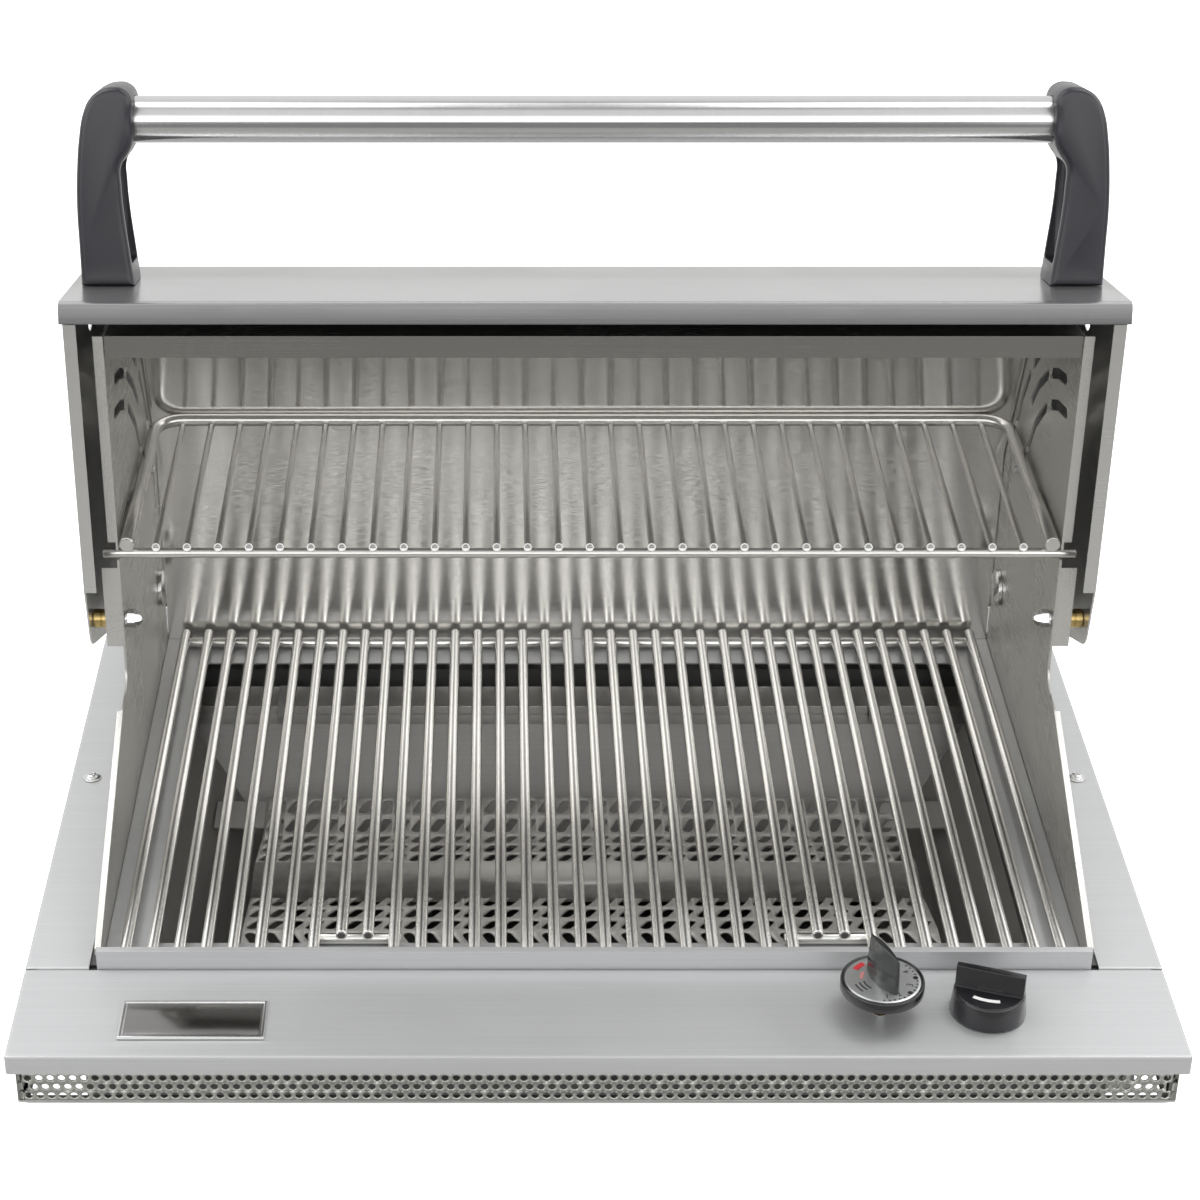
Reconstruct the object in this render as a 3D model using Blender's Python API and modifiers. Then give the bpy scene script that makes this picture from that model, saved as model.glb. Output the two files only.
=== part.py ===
"""A drop in gas grill for a countertop, with its hood standing open.

Lengths are metres, +Z is up and the user stands at -Y. The origin is the centre
of the flat bottom of the firebox. Places on the grill are given as back, the
distance behind the front edge of the deck, and rise, the height above the deck.
"""
import math

import bmesh
import bpy
from mathutils import Matrix, Vector

# Clearances and sheet
gap = 0.0003
loose = 0.0006
sheet = 0.0012
overrun = 0.004
sharp_fold = 60.0
weld = 0.0006

# Deck
deck_width = 0.720
deck_depth = 0.552
deck_edge = 0.0134
deck_bend = 0.0020
opening_margin = 0.0405
opening_width = deck_width - 2 * opening_margin
opening_front = 0.0880
opening_rear_margin = 0.0395
opening_rear = deck_depth - opening_rear_margin
panel_joint = 0.0006

# Firebox under the deck
firebox_drop = 0.175
shell_inset = 0.0045
shell_width = opening_width - 2 * shell_inset
shell_back = opening_rear - shell_inset
shell_wall_drop = 0.060
shell_flange = 0.025
base_toe_in = 0.0800
base_width = shell_width - 2 * base_toe_in
base_front = 0.175
base_heel = 0.0880
base_rear = shell_back - base_heel
control_box_front = 0.0215
control_box_drop = 0.0520
control_box_toe = 0.0285
control_box_depth = 0.0740

# Vent skirt
skirt_setback = 0.0080
skirt_side_setback = 0.0045
skirt_drop = 0.0425
skirt_lip = 0.0120
vent_hole = 0.0046
vent_pitch = 0.0207
vent_row_pitch = 0.0067
vent_rows = 3
vent_sides = 6
vent_margin = 0.012

# Grate frame
frame_inset = 0.0053
frame_width = opening_width - 2 * frame_inset
frame_lip_rise = 0.0130
frame_lip_return = 0.0040
ledge_rise = -0.0012
ledge_width = 0.0275
ledge_front = 0.0275
ledge_rear = 0.0355

# Fixed oven
plate_sheet = 0.0015
plate_inset = 0.0024
plate_inside = frame_width - 2 * plate_inset
plate_root = -0.030
oven_back_gap = 0.0063
oven_back = opening_rear - oven_back_gap
oven_slope_run = 0.0530
oven_shoulder = oven_back - oven_slope_run
oven_crown_run = 0.0677
oven_knee = oven_shoulder - oven_crown_run
oven_top_run = 0.0955
oven_front = oven_knee - oven_top_run
pivot_inset = 0.0085
pivot_back = oven_front + pivot_inset
pivot_rise = 0.1350
wing_rear_run = 0.0320
wing_rear = oven_front - wing_rear_run
wing_front = 0.0934
wing_front_rise = 0.0118
wing_rear_rise = 0.0868
notch_radius = 0.018
oven_front_rise = 0.3456
oven_top_drop = 0.0111
oven_knee_rise = oven_front_rise - oven_top_drop
oven_slope_drop = 0.0600
oven_shoulder_rise = oven_knee_rise - oven_slope_drop
oven_waist_rise = 0.1568
oven_back_root = -0.028
oven_lip_drop = 0.0150
hem_thickness = 0.0025
hem_width = 0.0045
flange_width = 0.0122
flange_bottom = 0.118
flange_top = 0.178
roll_width = 0.0066
roll_bottom = 0.1975
arc_slot_width = 0.0075
slot_reach = math.hypot(oven_shoulder - pivot_back, oven_shoulder_rise - pivot_rise)
inner_ring_share = 0.6913
middle_ring_share = 0.7921
outer_ring_share = 0.8881
arc_slot_steps = 2
spit_hole = 0.020
spit_inset = 0.0312
spit_back = oven_back - spit_inset
spit_rise = 0.0600
spit_cap = 0.0270
spit_cap_height = 0.0050

# Hood, drawn shut and swung open round its pivot
hood_open = 113.7
hood_overhang = 0.0240
hood_width = plate_inside + 2 * hood_overhang
hood_side_inset = 0.0016
hood_side_width = hood_width - 2 * hood_side_inset
hood_lip_back = 0.0877
hood_lip_rise = 0.0157
hood_brow_back = 0.0628
hood_brow_rise = 0.1457
hood_crown_back = 0.0970
hood_top_run = 0.0925
hood_top_back = pivot_back - hood_top_run
hood_end_run = 0.0172
hood_end_back = pivot_back + hood_end_run
hood_end_rise = 0.3814
hood_top_drop = 0.0174
hood_top_rise = hood_end_rise - hood_top_drop
hood_crown_drop = 0.0879
hood_crown_rise = hood_top_rise - hood_crown_drop
hood_lip_return = 0.0140
hood_end_return = 0.0100
hood_bend = 0.0040
hood_cheek_run = 0.0204
hood_cheek_back = pivot_back - hood_cheek_run
hood_cheek_rise = 0.0993
hood_side_flange = 0.0082
hood_tab = 0.0175
hood_vent_back = 0.0960
hood_vent_rise = 0.1370
hood_vent = 0.020

# Pivot hardware
pivot_bolt = 0.0062
pivot_head = 0.0125
pivot_head_height = 0.0030
bushing_outer = 0.0130
nut_flats = 0.0110
nut_height = 0.0100
washer_outer = 0.0115
washer_height = 0.0013

# Handle
handle_diameter = 0.0300
handle_reach = 0.1045
handle_climb = 0.0754
handle_socket = 0.0165
bracket_inset = 0.0058
bracket_outer = hood_width / 2 - bracket_inset
bracket_width = 0.0375
bracket_inner = bracket_outer - bracket_width
bracket_height = 0.1265
bracket_depth = 0.0410
bracket_wall = 0.0070
bracket_floor = 0.0140
bracket_bend = 0.0045
bracket_screw = 0.0050
bracket_screw_head = 0.0100

# Grates
rod = 0.00635
rod_count = 18
grate_gap = 0.0157
grate_inset = 0.01735
rod_pitch = (frame_width / 2 - grate_gap / 2 - grate_inset) / (rod_count - 1)
rod_front = 0.0925
rod_rear_gap = 0.0072
rod_rear = oven_back - rod_rear_gap
cross_front = 0.1010
cross_inset = 0.0070
cross_rear = rod_rear - cross_inset
short_rods = (8, 9)
short_cross = 0.1230
short_rod_end = 0.1262
rod_sink = 0.0008
rod_tip = 0.0024

# Warming rack
rack_wire = 0.0046
rack_front_wire = 0.0068
rack_rod = 0.0090
rack_inset = 0.0036
rack_back = oven_front + rack_inset
rack_rise = 0.1877
rack_rear_gap = 0.0247
rack_rear = oven_back - rack_rear_gap
rack_overhang = 0.0107
rack_width = plate_inside + 2 * rack_overhang
rack_arm_inset = 0.0054
rack_arm_width = plate_inside - 2 * rack_arm_inset
rack_corner = 0.0200
rack_wire_count = 29
rack_wire_inset = 0.0194
rack_wire_pitch = (rack_arm_width - 2 * rack_wire_inset) / (rack_wire_count - 1)
rack_pin = 0.0060
rack_pin_inset = 0.0635
rack_pin_back = rack_rear - rack_pin_inset

# Flavour grid, its runs as shares of its depth
grid_flat_share = 0.18794
grid_rise_share = 0.24825
grid_band_share = 0.15681
grid_upper_share = 0.25097
grid_rear_rise = -0.0600
grid_band_rise = -0.0396
grid_upper_rise = -0.0213
grid_front = 0.1180
slot_pitch = 0.0173
slot_length = 0.0160
slot_width = 0.0085
slot_slant = 0.0090

# Liner, rails and rear ledge
liner_inset = 0.0252
liner_width = frame_width - 2 * liner_inset
liner_front = 0.1120
liner_heel = 0.0662
liner_rear = oven_back - liner_heel
liner_rise = -0.0370
liner_shelf = 0.0220
liner_toe_in = 0.0740
liner_base_width = liner_width - 2 * liner_toe_in
liner_base_front = 0.1600
liner_base_heel = 0.0650
liner_base_rear = liner_rear - liner_base_heel
grid_overhang = 0.0140
grid_width = liner_base_width + 2 * grid_overhang
grid_rear = liner_base_rear
liner_base_rise = -0.1250
rear_ledge_gap = 0.0242
rear_ledge_rear = oven_back - rear_ledge_gap
rear_ledge_depth = 0.0285
rear_ledge_front = rear_ledge_rear - rear_ledge_depth
rear_ledge_rise = -0.0300
rear_ledge_fold = 0.0150
hanger_inset = 0.0670
hanger_side = liner_width / 2 - hanger_inset
hanger_width = 0.0078
hanger_overhang = 0.0060
rail_inset = 0.0030
rail_rear = grid_rear - rail_inset
rail_depth = 0.0340
rail_front = rail_rear - rail_depth

# Burner and gas train
burner_tube = 0.0250
burner_rise = -0.0950
burner_half = 0.1200
burner_heel = 0.0350
burner_rear = liner_base_rear - burner_heel
burner_front = 0.1750
burner_corner = 0.0350
inlet_rise = -0.0545
inlet_mouth = 0.0820
gas_pipe = 0.0095
valve_body = 0.0260
valve_body_height = 0.0435
valve_top = -0.0150
valve_neck = 0.0120
orifice = 0.0070
pipe_back = 0.0390
pipe_rise = -0.0500
pipe_end_inset = 0.0240
pipe_end = deck_width / 2 - pipe_end_inset
pipe_fitting = 0.0150

# Controls
control_back = 0.0455
control_inset = 0.1842
control_side = deck_width / 2 - control_inset
igniter_inset = 0.1177
igniter_side = deck_width / 2 - igniter_inset
stem = 0.0060
stem_collar = 0.0100
knob_diameter = 0.0520
knob_rim = 0.0078
knob_lift = 0.0165
knob_dish = 0.0012
blade_length = 0.0340
blade_width = 0.0130
blade_rise = 0.0247
blade_turn = -66.0
blade_top_share = 0.30
igniter_diameter = 0.0470
igniter_height = 0.0157
igniter_grip = 0.0076
igniter_grip_rise = 0.0145
igniter_lift = 0.0008
igniter_turn = -19.0
igniter_grip_share = 0.905
igniter_top_share = 0.65
module_diameter = 0.0240
module_height = 0.0420
lead = 0.0026
lead_rise = -0.0560
electrode_rod = 0.0060
electrode_tip = 0.0024
electrode_height = 0.0300
strap_front = 0.1900
strap_depth = 0.0240
knob_travel = 0.0030

# Name plate and screws
plate_edge = 0.1115
plate_side = plate_edge - deck_width / 2
plate_back = 0.0345
plate_length = 0.0900
plate_height = 0.0370
plate_thick = 0.0020
plate_rim = 0.0030
plate_recess = 0.0008
deck_screw = 0.0042
deck_screw_head = 0.0085
deck_screw_washer = 0.0125
deck_screw_crown = 0.0034
deck_screw_rim = 0.0010
deck_screw_shank = 0.0100
deck_screw_inset = 0.0150
deck_screw_side = deck_width / 2 - deck_screw_inset
deck_screw_run = 0.2430
deck_screw_back = deck_depth - deck_screw_run

# Drip tray and bumpers
tray_inset = 0.0300
tray_width = base_width - 2 * tray_inset
tray_front = 0.1850
tray_heel = 0.0150
tray_rear = base_rear - tray_heel
tray_height = 0.0200
bumper_diameter = 0.0120
bumper_side = 0.2500
bumper_inset = 0.0080
bumper_back = opening_rear + bumper_inset

# Slots of a side plate: share of the reach to the shoulder, then start and end in degrees
oven_slot_shares = (
    (inner_ring_share, 60.0, 82.0),
    (inner_ring_share, 25.0, 55.0),
    (middle_ring_share, 61.0, 79.0),
    (middle_ring_share, 36.0, 58.0),
    (outer_ring_share, 42.0, 52.0),
    (outer_ring_share, 19.0, 38.0),
    (outer_ring_share, -3.0, 9.0),
)

# Outline of a handle bracket as shares of its width and height
bracket_outline_shares = (
    (0.00, 0.00), (0.02, 0.24), (0.065, 0.44), (0.11, 0.63), (0.18, 0.76), (0.32, 0.87), (0.55, 0.95),
    (0.82, 1.00), (1.00, 0.985), (1.00, 0.70), (0.84, 0.60), (0.84, 0.40), (0.91, 0.16), (0.94, 0.00),
)

finish_values = {
    "brushed_steel": ((0.62, 0.62, 0.60), 0.32, 1.0),
    "hood_steel": ((0.58, 0.58, 0.57), 0.30, 1.0),
    "oven_steel": ((0.34, 0.33, 0.31), 0.38, 1.0),
    "rod_steel": ((0.55, 0.54, 0.50), 0.25, 1.0),
    "polished_steel": ((0.72, 0.72, 0.70), 0.16, 1.0),
    "black_casting": ((0.025, 0.025, 0.028), 0.42, 0.0),
    "black_plastic": ((0.018, 0.018, 0.020), 0.30, 0.0),
    "brass": ((0.62, 0.45, 0.18), 0.30, 1.0),
    "cast_iron": ((0.08, 0.08, 0.08), 0.60, 1.0),
    "black_rubber": ((0.02, 0.02, 0.02), 0.80, 0.0),
    "ceramic": ((0.75, 0.73, 0.68), 0.35, 0.0),
    "red_lead": ((0.35, 0.03, 0.02), 0.50, 0.0),
}

base_middle = (base_front + base_rear) / 2
rod_axis = ledge_rise + gap + rod + rod / 2 - rod_sink
cross_axis = ledge_rise + gap + rod / 2


def clear_scene():
    """Remove the objects of the start scene."""
    for item in list(bpy.data.objects):
        bpy.data.objects.remove(item, do_unlink=True)


def make_collection(name):
    """Make a collection under the scene."""
    group = bpy.data.collections.new(name)
    bpy.context.scene.collection.children.link(group)
    return group


clear_scene()
grill = make_collection("built_in_gas_grill")
cutters = make_collection("cutters")


def make_finish(name):
    """Make one plain material."""
    color, rough, metal = finish_values[name]
    surface = bpy.data.materials.new(name)
    surface.use_nodes = True
    shader = surface.node_tree.nodes["Principled BSDF"]
    shader.inputs["Base Color"].default_value = (*color, 1.0)
    shader.inputs["Roughness"].default_value = rough
    shader.inputs["Metallic"].default_value = metal
    surface.diffuse_color = (*color, 1.0)
    return surface


def y_at(back):
    """Y of a place that lies back behind the front edge of the deck."""
    return back - base_middle


def z_at(rise):
    """Z of a place that lies rise above the deck."""
    return rise + firebox_drop


def spot(side, back, rise):
    """A point from its side, back and rise."""
    return Vector((side, y_at(back), z_at(rise)))


def opened(back, rise):
    """Where a place on the shut hood lies when the hood is open."""
    turn = math.radians(-hood_open)
    reach = back - pivot_back
    height = rise - pivot_rise
    swung = reach * math.cos(turn) - height * math.sin(turn)
    lifted = reach * math.sin(turn) + height * math.cos(turn)
    return pivot_back + swung, pivot_rise + lifted


def add_object(name, mesh, finish=None, group=None):
    """Put a mesh in the scene as an object."""
    item = bpy.data.objects.new(name, mesh)
    (group or grill).objects.link(item)
    if finish:
        mesh.materials.append(make_finish(finish))
    return item


def finish_mesh(name, shape, finish=None, group=None):
    """Turn a bmesh into an object."""
    mesh = bpy.data.meshes.new(name)
    shape.to_mesh(mesh)
    shape.free()
    return add_object(name, mesh, finish, group)


def as_cutter(item):
    """Mark an object as a tool that only shapes another."""
    item.hide_render = True
    item.display_type = "WIRE"
    return item


def combine(item, tool, operation="DIFFERENCE"):
    """Cut a tool from an object, or join it on."""
    step = item.modifiers.new(operation.lower(), "BOOLEAN")
    step.operation = operation
    step.solver = "EXACT"
    step.object = as_cutter(tool)
    return item


def smooth(item, angle=35.0):
    """Shade a round piece smooth with sharp edges kept."""
    item.data.shade_smooth()
    item.data.set_sharp_from_angle(angle=math.radians(angle))
    return item


def block(name, low, high, finish=None, group=None):
    """A box between two corners."""
    shape = bmesh.new()
    bmesh.ops.create_cube(shape, size=1.0)
    size = high - low
    middle = (high + low) / 2
    bmesh.ops.scale(shape, vec=size, verts=shape.verts)
    bmesh.ops.translate(shape, vec=middle, verts=shape.verts)
    return finish_mesh(name, shape, finish, group)


def tool_block(low, high):
    """A box in the cutters' collection."""
    return block("tool", low, high, group=cutters)


def tool_round(center, radius, length, axis, sides=12):
    """A cylinder about an axis in the cutters' collection."""
    shape = bmesh.new()
    bmesh.ops.create_cone(shape, cap_ends=True, segments=sides, radius1=radius, radius2=radius,
                          depth=length)
    turn = Vector((0, 0, 1)).rotation_difference(Vector(axis)).to_matrix()
    bmesh.ops.rotate(shape, cent=(0, 0, 0), matrix=turn, verts=shape.verts)
    bmesh.ops.translate(shape, vec=center, verts=shape.verts)
    return finish_mesh("tool", shape, group=cutters)


def bend_edges(shape, edges, width, steps=2):
    """Round fold edges of an open sheet."""
    bmesh.ops.bevel(shape, geom=edges, offset=width, segments=steps, affect="EDGES", profile=0.5,
                    material=-1)


def add_thickness(item, depth, side):
    """Give an open sheet its thickness, out with 1 and in with -1."""
    step = item.modifiers.new("thickness", "SOLIDIFY")
    step.thickness = depth
    step.offset = side
    step.use_even_offset = True
    return item


def folded(name, line, half_width, finish, side, depth=None, bend=0.0, group=None):
    """A sheet bent along a line of (back, rise) points, with side 1 to thicken to the left of the line."""
    shape = bmesh.new()
    ends = [shape.verts.new(spot(-half_width, back, rise)) for back, rise in line]
    folds = [shape.edges.new(pair) for pair in zip(ends, ends[1:])]
    made = bmesh.ops.extrude_edge_only(shape, edges=folds)["geom"]
    moved = [part for part in made if isinstance(part, bmesh.types.BMVert)]
    bmesh.ops.translate(shape, verts=moved, vec=(2 * half_width, 0, 0))
    shape.faces.ensure_lookup_table()
    for face in shape.faces:
        face.normal_update()
    first = min(shape.faces, key=lambda face: (face.calc_center_median() - middle_of(line, 0)).length)
    travel = Vector((0, line[1][0] - line[0][0], line[1][1] - line[0][1]))
    left = Vector((0, -travel.z, travel.y))
    bmesh.ops.recalc_face_normals(shape, faces=shape.faces)
    if first.normal.dot(left) < 0:
        bmesh.ops.reverse_faces(shape, faces=shape.faces)
    if bend:
        inner = [edge for edge in shape.edges if len(edge.link_faces) == 2
                 and edge.calc_face_angle() > math.radians(sharp_fold)]
        bend_edges(shape, inner, bend)
    item = finish_mesh(name, shape, finish, group)
    return add_thickness(item, depth or sheet, side)


def middle_of(line, index):
    """Middle of one stretch of a fold line."""
    start = spot(0, *line[index])
    end = spot(0, *line[index + 1])
    return (start + end) / 2


def ring_verts(shape, ring):
    """Corners of one level rectangle: half width, front, rear and rise."""
    half, front, rear, rise = ring
    corners = [(-half, front), (half, front), (half, rear), (-half, rear)]
    return [spot(side, back, rise) for side, back in corners]


def pan(name, rings, finish, cap=None, side=-1, depth=None, bend=0.0, group=None):
    """A sheet through level rectangles, with a floor or a top where cap names the ring."""
    shape = bmesh.new()
    corners = [shape.verts.new(place) for place in ring_verts(shape, rings[0])]
    edges = [shape.edges.new((corners[i], corners[(i + 1) % 4])) for i in range(4)]
    first_edges = list(edges)
    for ring in rings[1:]:
        targets = ring_verts(shape, ring)
        made = bmesh.ops.extrude_edge_only(shape, edges=edges)["geom"]
        fresh = [part for part in made if isinstance(part, bmesh.types.BMVert)]
        ordered = []
        for corner in corners:
            match = min(fresh, key=lambda vert: (vert.co - corner.co).length)
            ordered.append(match)
            fresh.remove(match)
        for vert, target in zip(ordered, targets):
            vert.co = target
        corners = ordered
        edges = [shape.edges.get((corners[i], corners[(i + 1) % 4])) for i in range(4)]
    if cap == "first":
        bmesh.ops.edgeloop_fill(shape, edges=first_edges)
    if cap == "last":
        bmesh.ops.edgeloop_fill(shape, edges=edges)
    bmesh.ops.recalc_face_normals(shape, faces=shape.faces)
    middle = sum((vert.co for vert in shape.verts), Vector()) / len(shape.verts)
    outward = sum((face.normal.dot(face.calc_center_median() - middle) * face.calc_area()
                   for face in shape.faces))
    if outward < 0:
        bmesh.ops.reverse_faces(shape, faces=shape.faces)
    if bend:
        bend_edges(shape, [edge for edge in shape.edges if len(edge.link_faces) == 2], bend)
    item = finish_mesh(name, shape, finish, group)
    return add_thickness(item, depth or sheet, side)


def outline(name, loops, start, depth, plane, finish=None, group=None):
    """A flat plate from closed loops of points, the first one its edge and the rest holes."""
    curve = bpy.data.curves.new(name, "CURVE")
    curve.dimensions = "2D"
    curve.fill_mode = "BOTH"
    curve.extrude = depth / 2
    for loop in loops:
        spline = curve.splines.new("POLY")
        spline.points.add(len(loop) - 1)
        spline.use_cyclic_u = True
        for point, (across, up) in zip(spline.points, loop):
            point.co = (across, up, 0, 1)
    holder = bpy.data.objects.new(name, curve)
    mesh = curve_mesh(holder, name)
    turns = {
        "YZ": Matrix(((0, 0, 1, start + depth / 2), (1, 0, 0, 0), (0, 1, 0, 0), (0, 0, 0, 1))),
        "XY": Matrix(((1, 0, 0, 0), (0, 1, 0, 0), (0, 0, 1, start + depth / 2), (0, 0, 0, 1))),
    }
    mesh.transform(turns[plane])
    return add_object(name, mesh, finish, group)


def curve_mesh(holder, name):
    """The welded mesh of a curve object, which is removed."""
    cutters.objects.link(holder)
    bpy.context.view_layer.update()
    graph = bpy.context.evaluated_depsgraph_get()
    mesh = bpy.data.meshes.new_from_object(holder.evaluated_get(graph))
    mesh.name = name
    bpy.data.objects.remove(holder, do_unlink=True)
    shape = bmesh.new()
    shape.from_mesh(mesh)
    bmesh.ops.remove_doubles(shape, verts=shape.verts, dist=gap / 10)
    bmesh.ops.recalc_face_normals(shape, faces=shape.faces)
    shape.to_mesh(mesh)
    shape.free()
    mesh.materials.clear()
    return mesh


def tubes(name, runs, radius, finish=None, group=None, detail=2, tapers=None):
    """Round bars along runs of points, all in one mesh."""
    curve = bpy.data.curves.new(name, "CURVE")
    curve.dimensions = "3D"
    curve.bevel_depth = radius
    curve.bevel_resolution = detail
    curve.use_fill_caps = True
    for number, run in enumerate(runs):
        spline = curve.splines.new("POLY")
        spline.points.add(len(run) - 1)
        shares = tapers[number] if tapers else [1.0] * len(run)
        for point, place, share in zip(spline.points, run, shares):
            point.co = (*place, 1)
            point.radius = share
    mesh = curve_mesh(bpy.data.objects.new(name, curve), name)
    item = add_object(name, mesh, finish, group)
    return smooth(item, 50.0)


def turned(name, profile, center, axis, finish, steps=16, group=None, ring=False):
    """A turned piece from (radius, distance along the axis) points, given top to bottom."""
    shape = bmesh.new()
    dots = [shape.verts.new((radius, 0, along)) for radius, along in profile]
    if ring:
        dots.append(dots[0])
    for pair in zip(dots, dots[1:]):
        shape.edges.new(pair)
    item = finish_mesh(name, shape, finish, group)
    step = item.modifiers.new("turn", "SCREW")
    step.axis = "Z"
    step.steps = steps
    step.render_steps = steps
    step.use_merge_vertices = True
    step.merge_threshold = gap / 10
    item.rotation_mode = "QUATERNION"
    item.rotation_quaternion = Vector((0, 0, 1)).rotation_difference(Vector(axis))
    item.location = center
    return item


def rounded_run(corners, radius, steps=4):
    """Points of a run whose inner corners are arcs."""
    run = [corners[0]]
    for before, corner, after in zip(corners, corners[1:], corners[2:]):
        inward = (before - corner).normalized()
        onward = (after - corner).normalized()
        half = inward.angle(onward) / 2
        reach = radius / math.tan(half)
        middle = corner + (inward + onward).normalized() * (radius / math.sin(half))
        start = corner + inward * reach - middle
        end = corner + onward * reach - middle
        for step in range(steps + 1):
            run.append(middle + start.normalized().slerp(end.normalized(), step / steps) * radius)
    run.append(corners[-1])
    return run


def arc_slot(radius, start, end, width):
    """A closed loop round a slot that follows an arc about the pivot."""
    loop = []
    steps = arc_slot_steps
    for step in range(steps + 1):
        turn = math.radians(start + (end - start) * step / steps)
        loop.append((radius + width / 2, turn))
    loop.append((radius, math.radians(end) + width / 2 / radius))
    for step in range(steps + 1):
        turn = math.radians(end + (start - end) * step / steps)
        loop.append((radius - width / 2, turn))
    loop.append((radius, math.radians(start) - width / 2 / radius))
    return [(y_at(pivot_back + reach * math.cos(turn)), z_at(pivot_rise + reach * math.sin(turn)))
            for reach, turn in loop]


def round_loop(back, rise, radius, sides):
    """A closed loop of points on a circle."""
    turns = [2 * math.pi * step / sides for step in range(sides)]
    return [(y_at(back + radius * math.cos(turn)), z_at(rise + radius * math.sin(turn))) for turn in turns]


def level(points):
    """World Y and Z of (back, rise) points."""
    return [(y_at(back), z_at(rise)) for back, rise in points]


def mirrored_name(name, hand):
    """Name of a piece on one side."""
    return f"{name}_{'left' if hand < 0 else 'right'}"


def span(hand, near, far):
    """Start of a plate on one side and its thickness."""
    return (near if hand > 0 else -far), far - near


def build_deck():
    """Deck frame, control panel and vent skirt."""
    half = deck_width / 2
    front = opening_front + panel_joint
    deck = pan("deck_frame", [(half, front, deck_depth, 0), (half, front, deck_depth, -deck_edge)],
               "brushed_steel", cap="first", bend=deck_bend)
    hole = tool_block(spot(-opening_width / 2, opening_front - overrun, -deck_edge - overrun),
                      spot(opening_width / 2, opening_rear, overrun))
    combine(deck, hole)
    for hand in (-1, 1):
        center = spot(hand * deck_screw_side, deck_screw_back, 0)
        combine(deck, tool_round(center, deck_screw / 2 + gap, 2 * overrun, (0, 0, 1), 10))
    panel = pan("control_panel", [(half, 0, opening_front, 0), (half, 0, opening_front, -deck_edge)],
                "brushed_steel", cap="first", bend=deck_bend)
    for side, radius in ((control_side, stem_collar / 2), (igniter_side, stem_collar / 2)):
        center = spot(side, control_back, 0)
        combine(panel, tool_round(center, radius + loose, 2 * overrun, (0, 0, 1), 12))
    band = half - skirt_side_setback
    for hand in (-1, 1):
        sides = sorted((hand * (band - sheet - 3 * loose), hand * (half - sheet)))
        low = spot(sides[0], opening_front - deck_bend - sheet, -deck_edge - overrun)
        high = spot(sides[1], front + deck_bend + sheet, -sheet)
        combine(deck, tool_block(low, high))
        combine(panel, tool_block(low, high))
    build_skirt()


def build_skirt():
    """Perforated band that lifts the deck off the countertop."""
    half = deck_width / 2 - skirt_side_setback
    front = skirt_setback
    rear = deck_depth - skirt_setback
    top = -sheet - loose
    lip_half = half - skirt_lip
    rings = [(half, front, rear, top), (half, front, rear, -skirt_drop),
             (lip_half, front + skirt_lip, rear - skirt_lip, -skirt_drop)]
    skirt = pan("vent_skirt", rings, "brushed_steel", side=-1)
    shape = bmesh.new()
    count = int((2 * half - 2 * vent_margin) / vent_pitch)
    first_row = -skirt_drop + vent_row_pitch
    turn = Matrix.Rotation(math.radians(90), 3, "X")
    for row in range(vent_rows):
        shift = vent_pitch / 2 * (row % 2)
        for column in range(count):
            side = (column - (count - 1) / 2) * vent_pitch + shift - vent_pitch / 4
            made = bmesh.ops.create_cone(shape, cap_ends=True, segments=vent_sides, radius1=vent_hole / 2,
                                         radius2=vent_hole / 2, depth=2 * overrun)
            bmesh.ops.rotate(shape, cent=(0, 0, 0), matrix=turn, verts=made["verts"])
            place = spot(side, front + sheet / 2, first_row + row * vent_row_pitch)
            bmesh.ops.translate(shape, vec=place, verts=made["verts"])
    combine(skirt, finish_mesh("tool", shape, group=cutters))


def rectangle(half, front, rear):
    """A closed loop round a level rectangle."""
    return [(-half, y_at(front)), (half, y_at(front)), (half, y_at(rear)), (-half, y_at(rear))]


def shell_front():
    """Front wall of the firebox shell."""
    return opening_front + gap + 2 * sheet + loose + gap


def shell_half():
    """Half width of the firebox shell outside."""
    return shell_width / 2


def box_rear():
    """Rear wall of the control box."""
    return opening_front - sheet - loose


def build_firebox():
    """Shell of the firebox and the box behind the controls."""
    half = shell_half()
    front = shell_front()
    top = -sheet - gap
    rings = [(half, front, shell_back, top - sheet / 2),
             (half, front, shell_back, -shell_wall_drop),
             (base_width / 2, base_front, base_rear, -firebox_drop)]
    shell = pan("firebox_shell", rings, "oven_steel", cap="last", side=-1)
    wide = half + shell_flange
    flange = outline("tool", [rectangle(wide, front, shell_back + shell_flange),
                              rectangle(half - sheet, front + sheet, shell_back - sheet)],
                     z_at(top - sheet), sheet, "XY", group=cutters)
    combine(shell, flange, "UNION")
    low = spot(-wide - overrun, front - overrun, ledge_rise - sheet - gap)
    combine(shell, tool_block(low, spot(wide + overrun, front + 2 * sheet, overrun)))
    rings = [(half, control_box_front, box_rear(), top),
             (half, control_box_front, box_rear(), -control_box_drop),
             (half, control_box_front + control_box_toe, box_rear(), -control_box_depth)]
    box = pan("control_box", rings, "oven_steel", cap="last", side=-1)
    mouth = spot(control_side, (box_rear() + front) / 2, inlet_rise)
    wire = spot(igniter_side, (box_rear() + front) / 2, lead_rise)
    for item in (shell, box):
        combine(item, tool_round(mouth, burner_tube / 2 + loose, 5 * overrun, (0, 1, 0), 12))
        combine(item, tool_round(wire, lead / 2 + loose, 5 * overrun, (0, 1, 0), 8))
    hole = tool_round(spot(half, pipe_back, pipe_rise), gas_pipe / 2 + loose, 4 * overrun, (1, 0, 0), 12)
    combine(box, hole)


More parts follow.
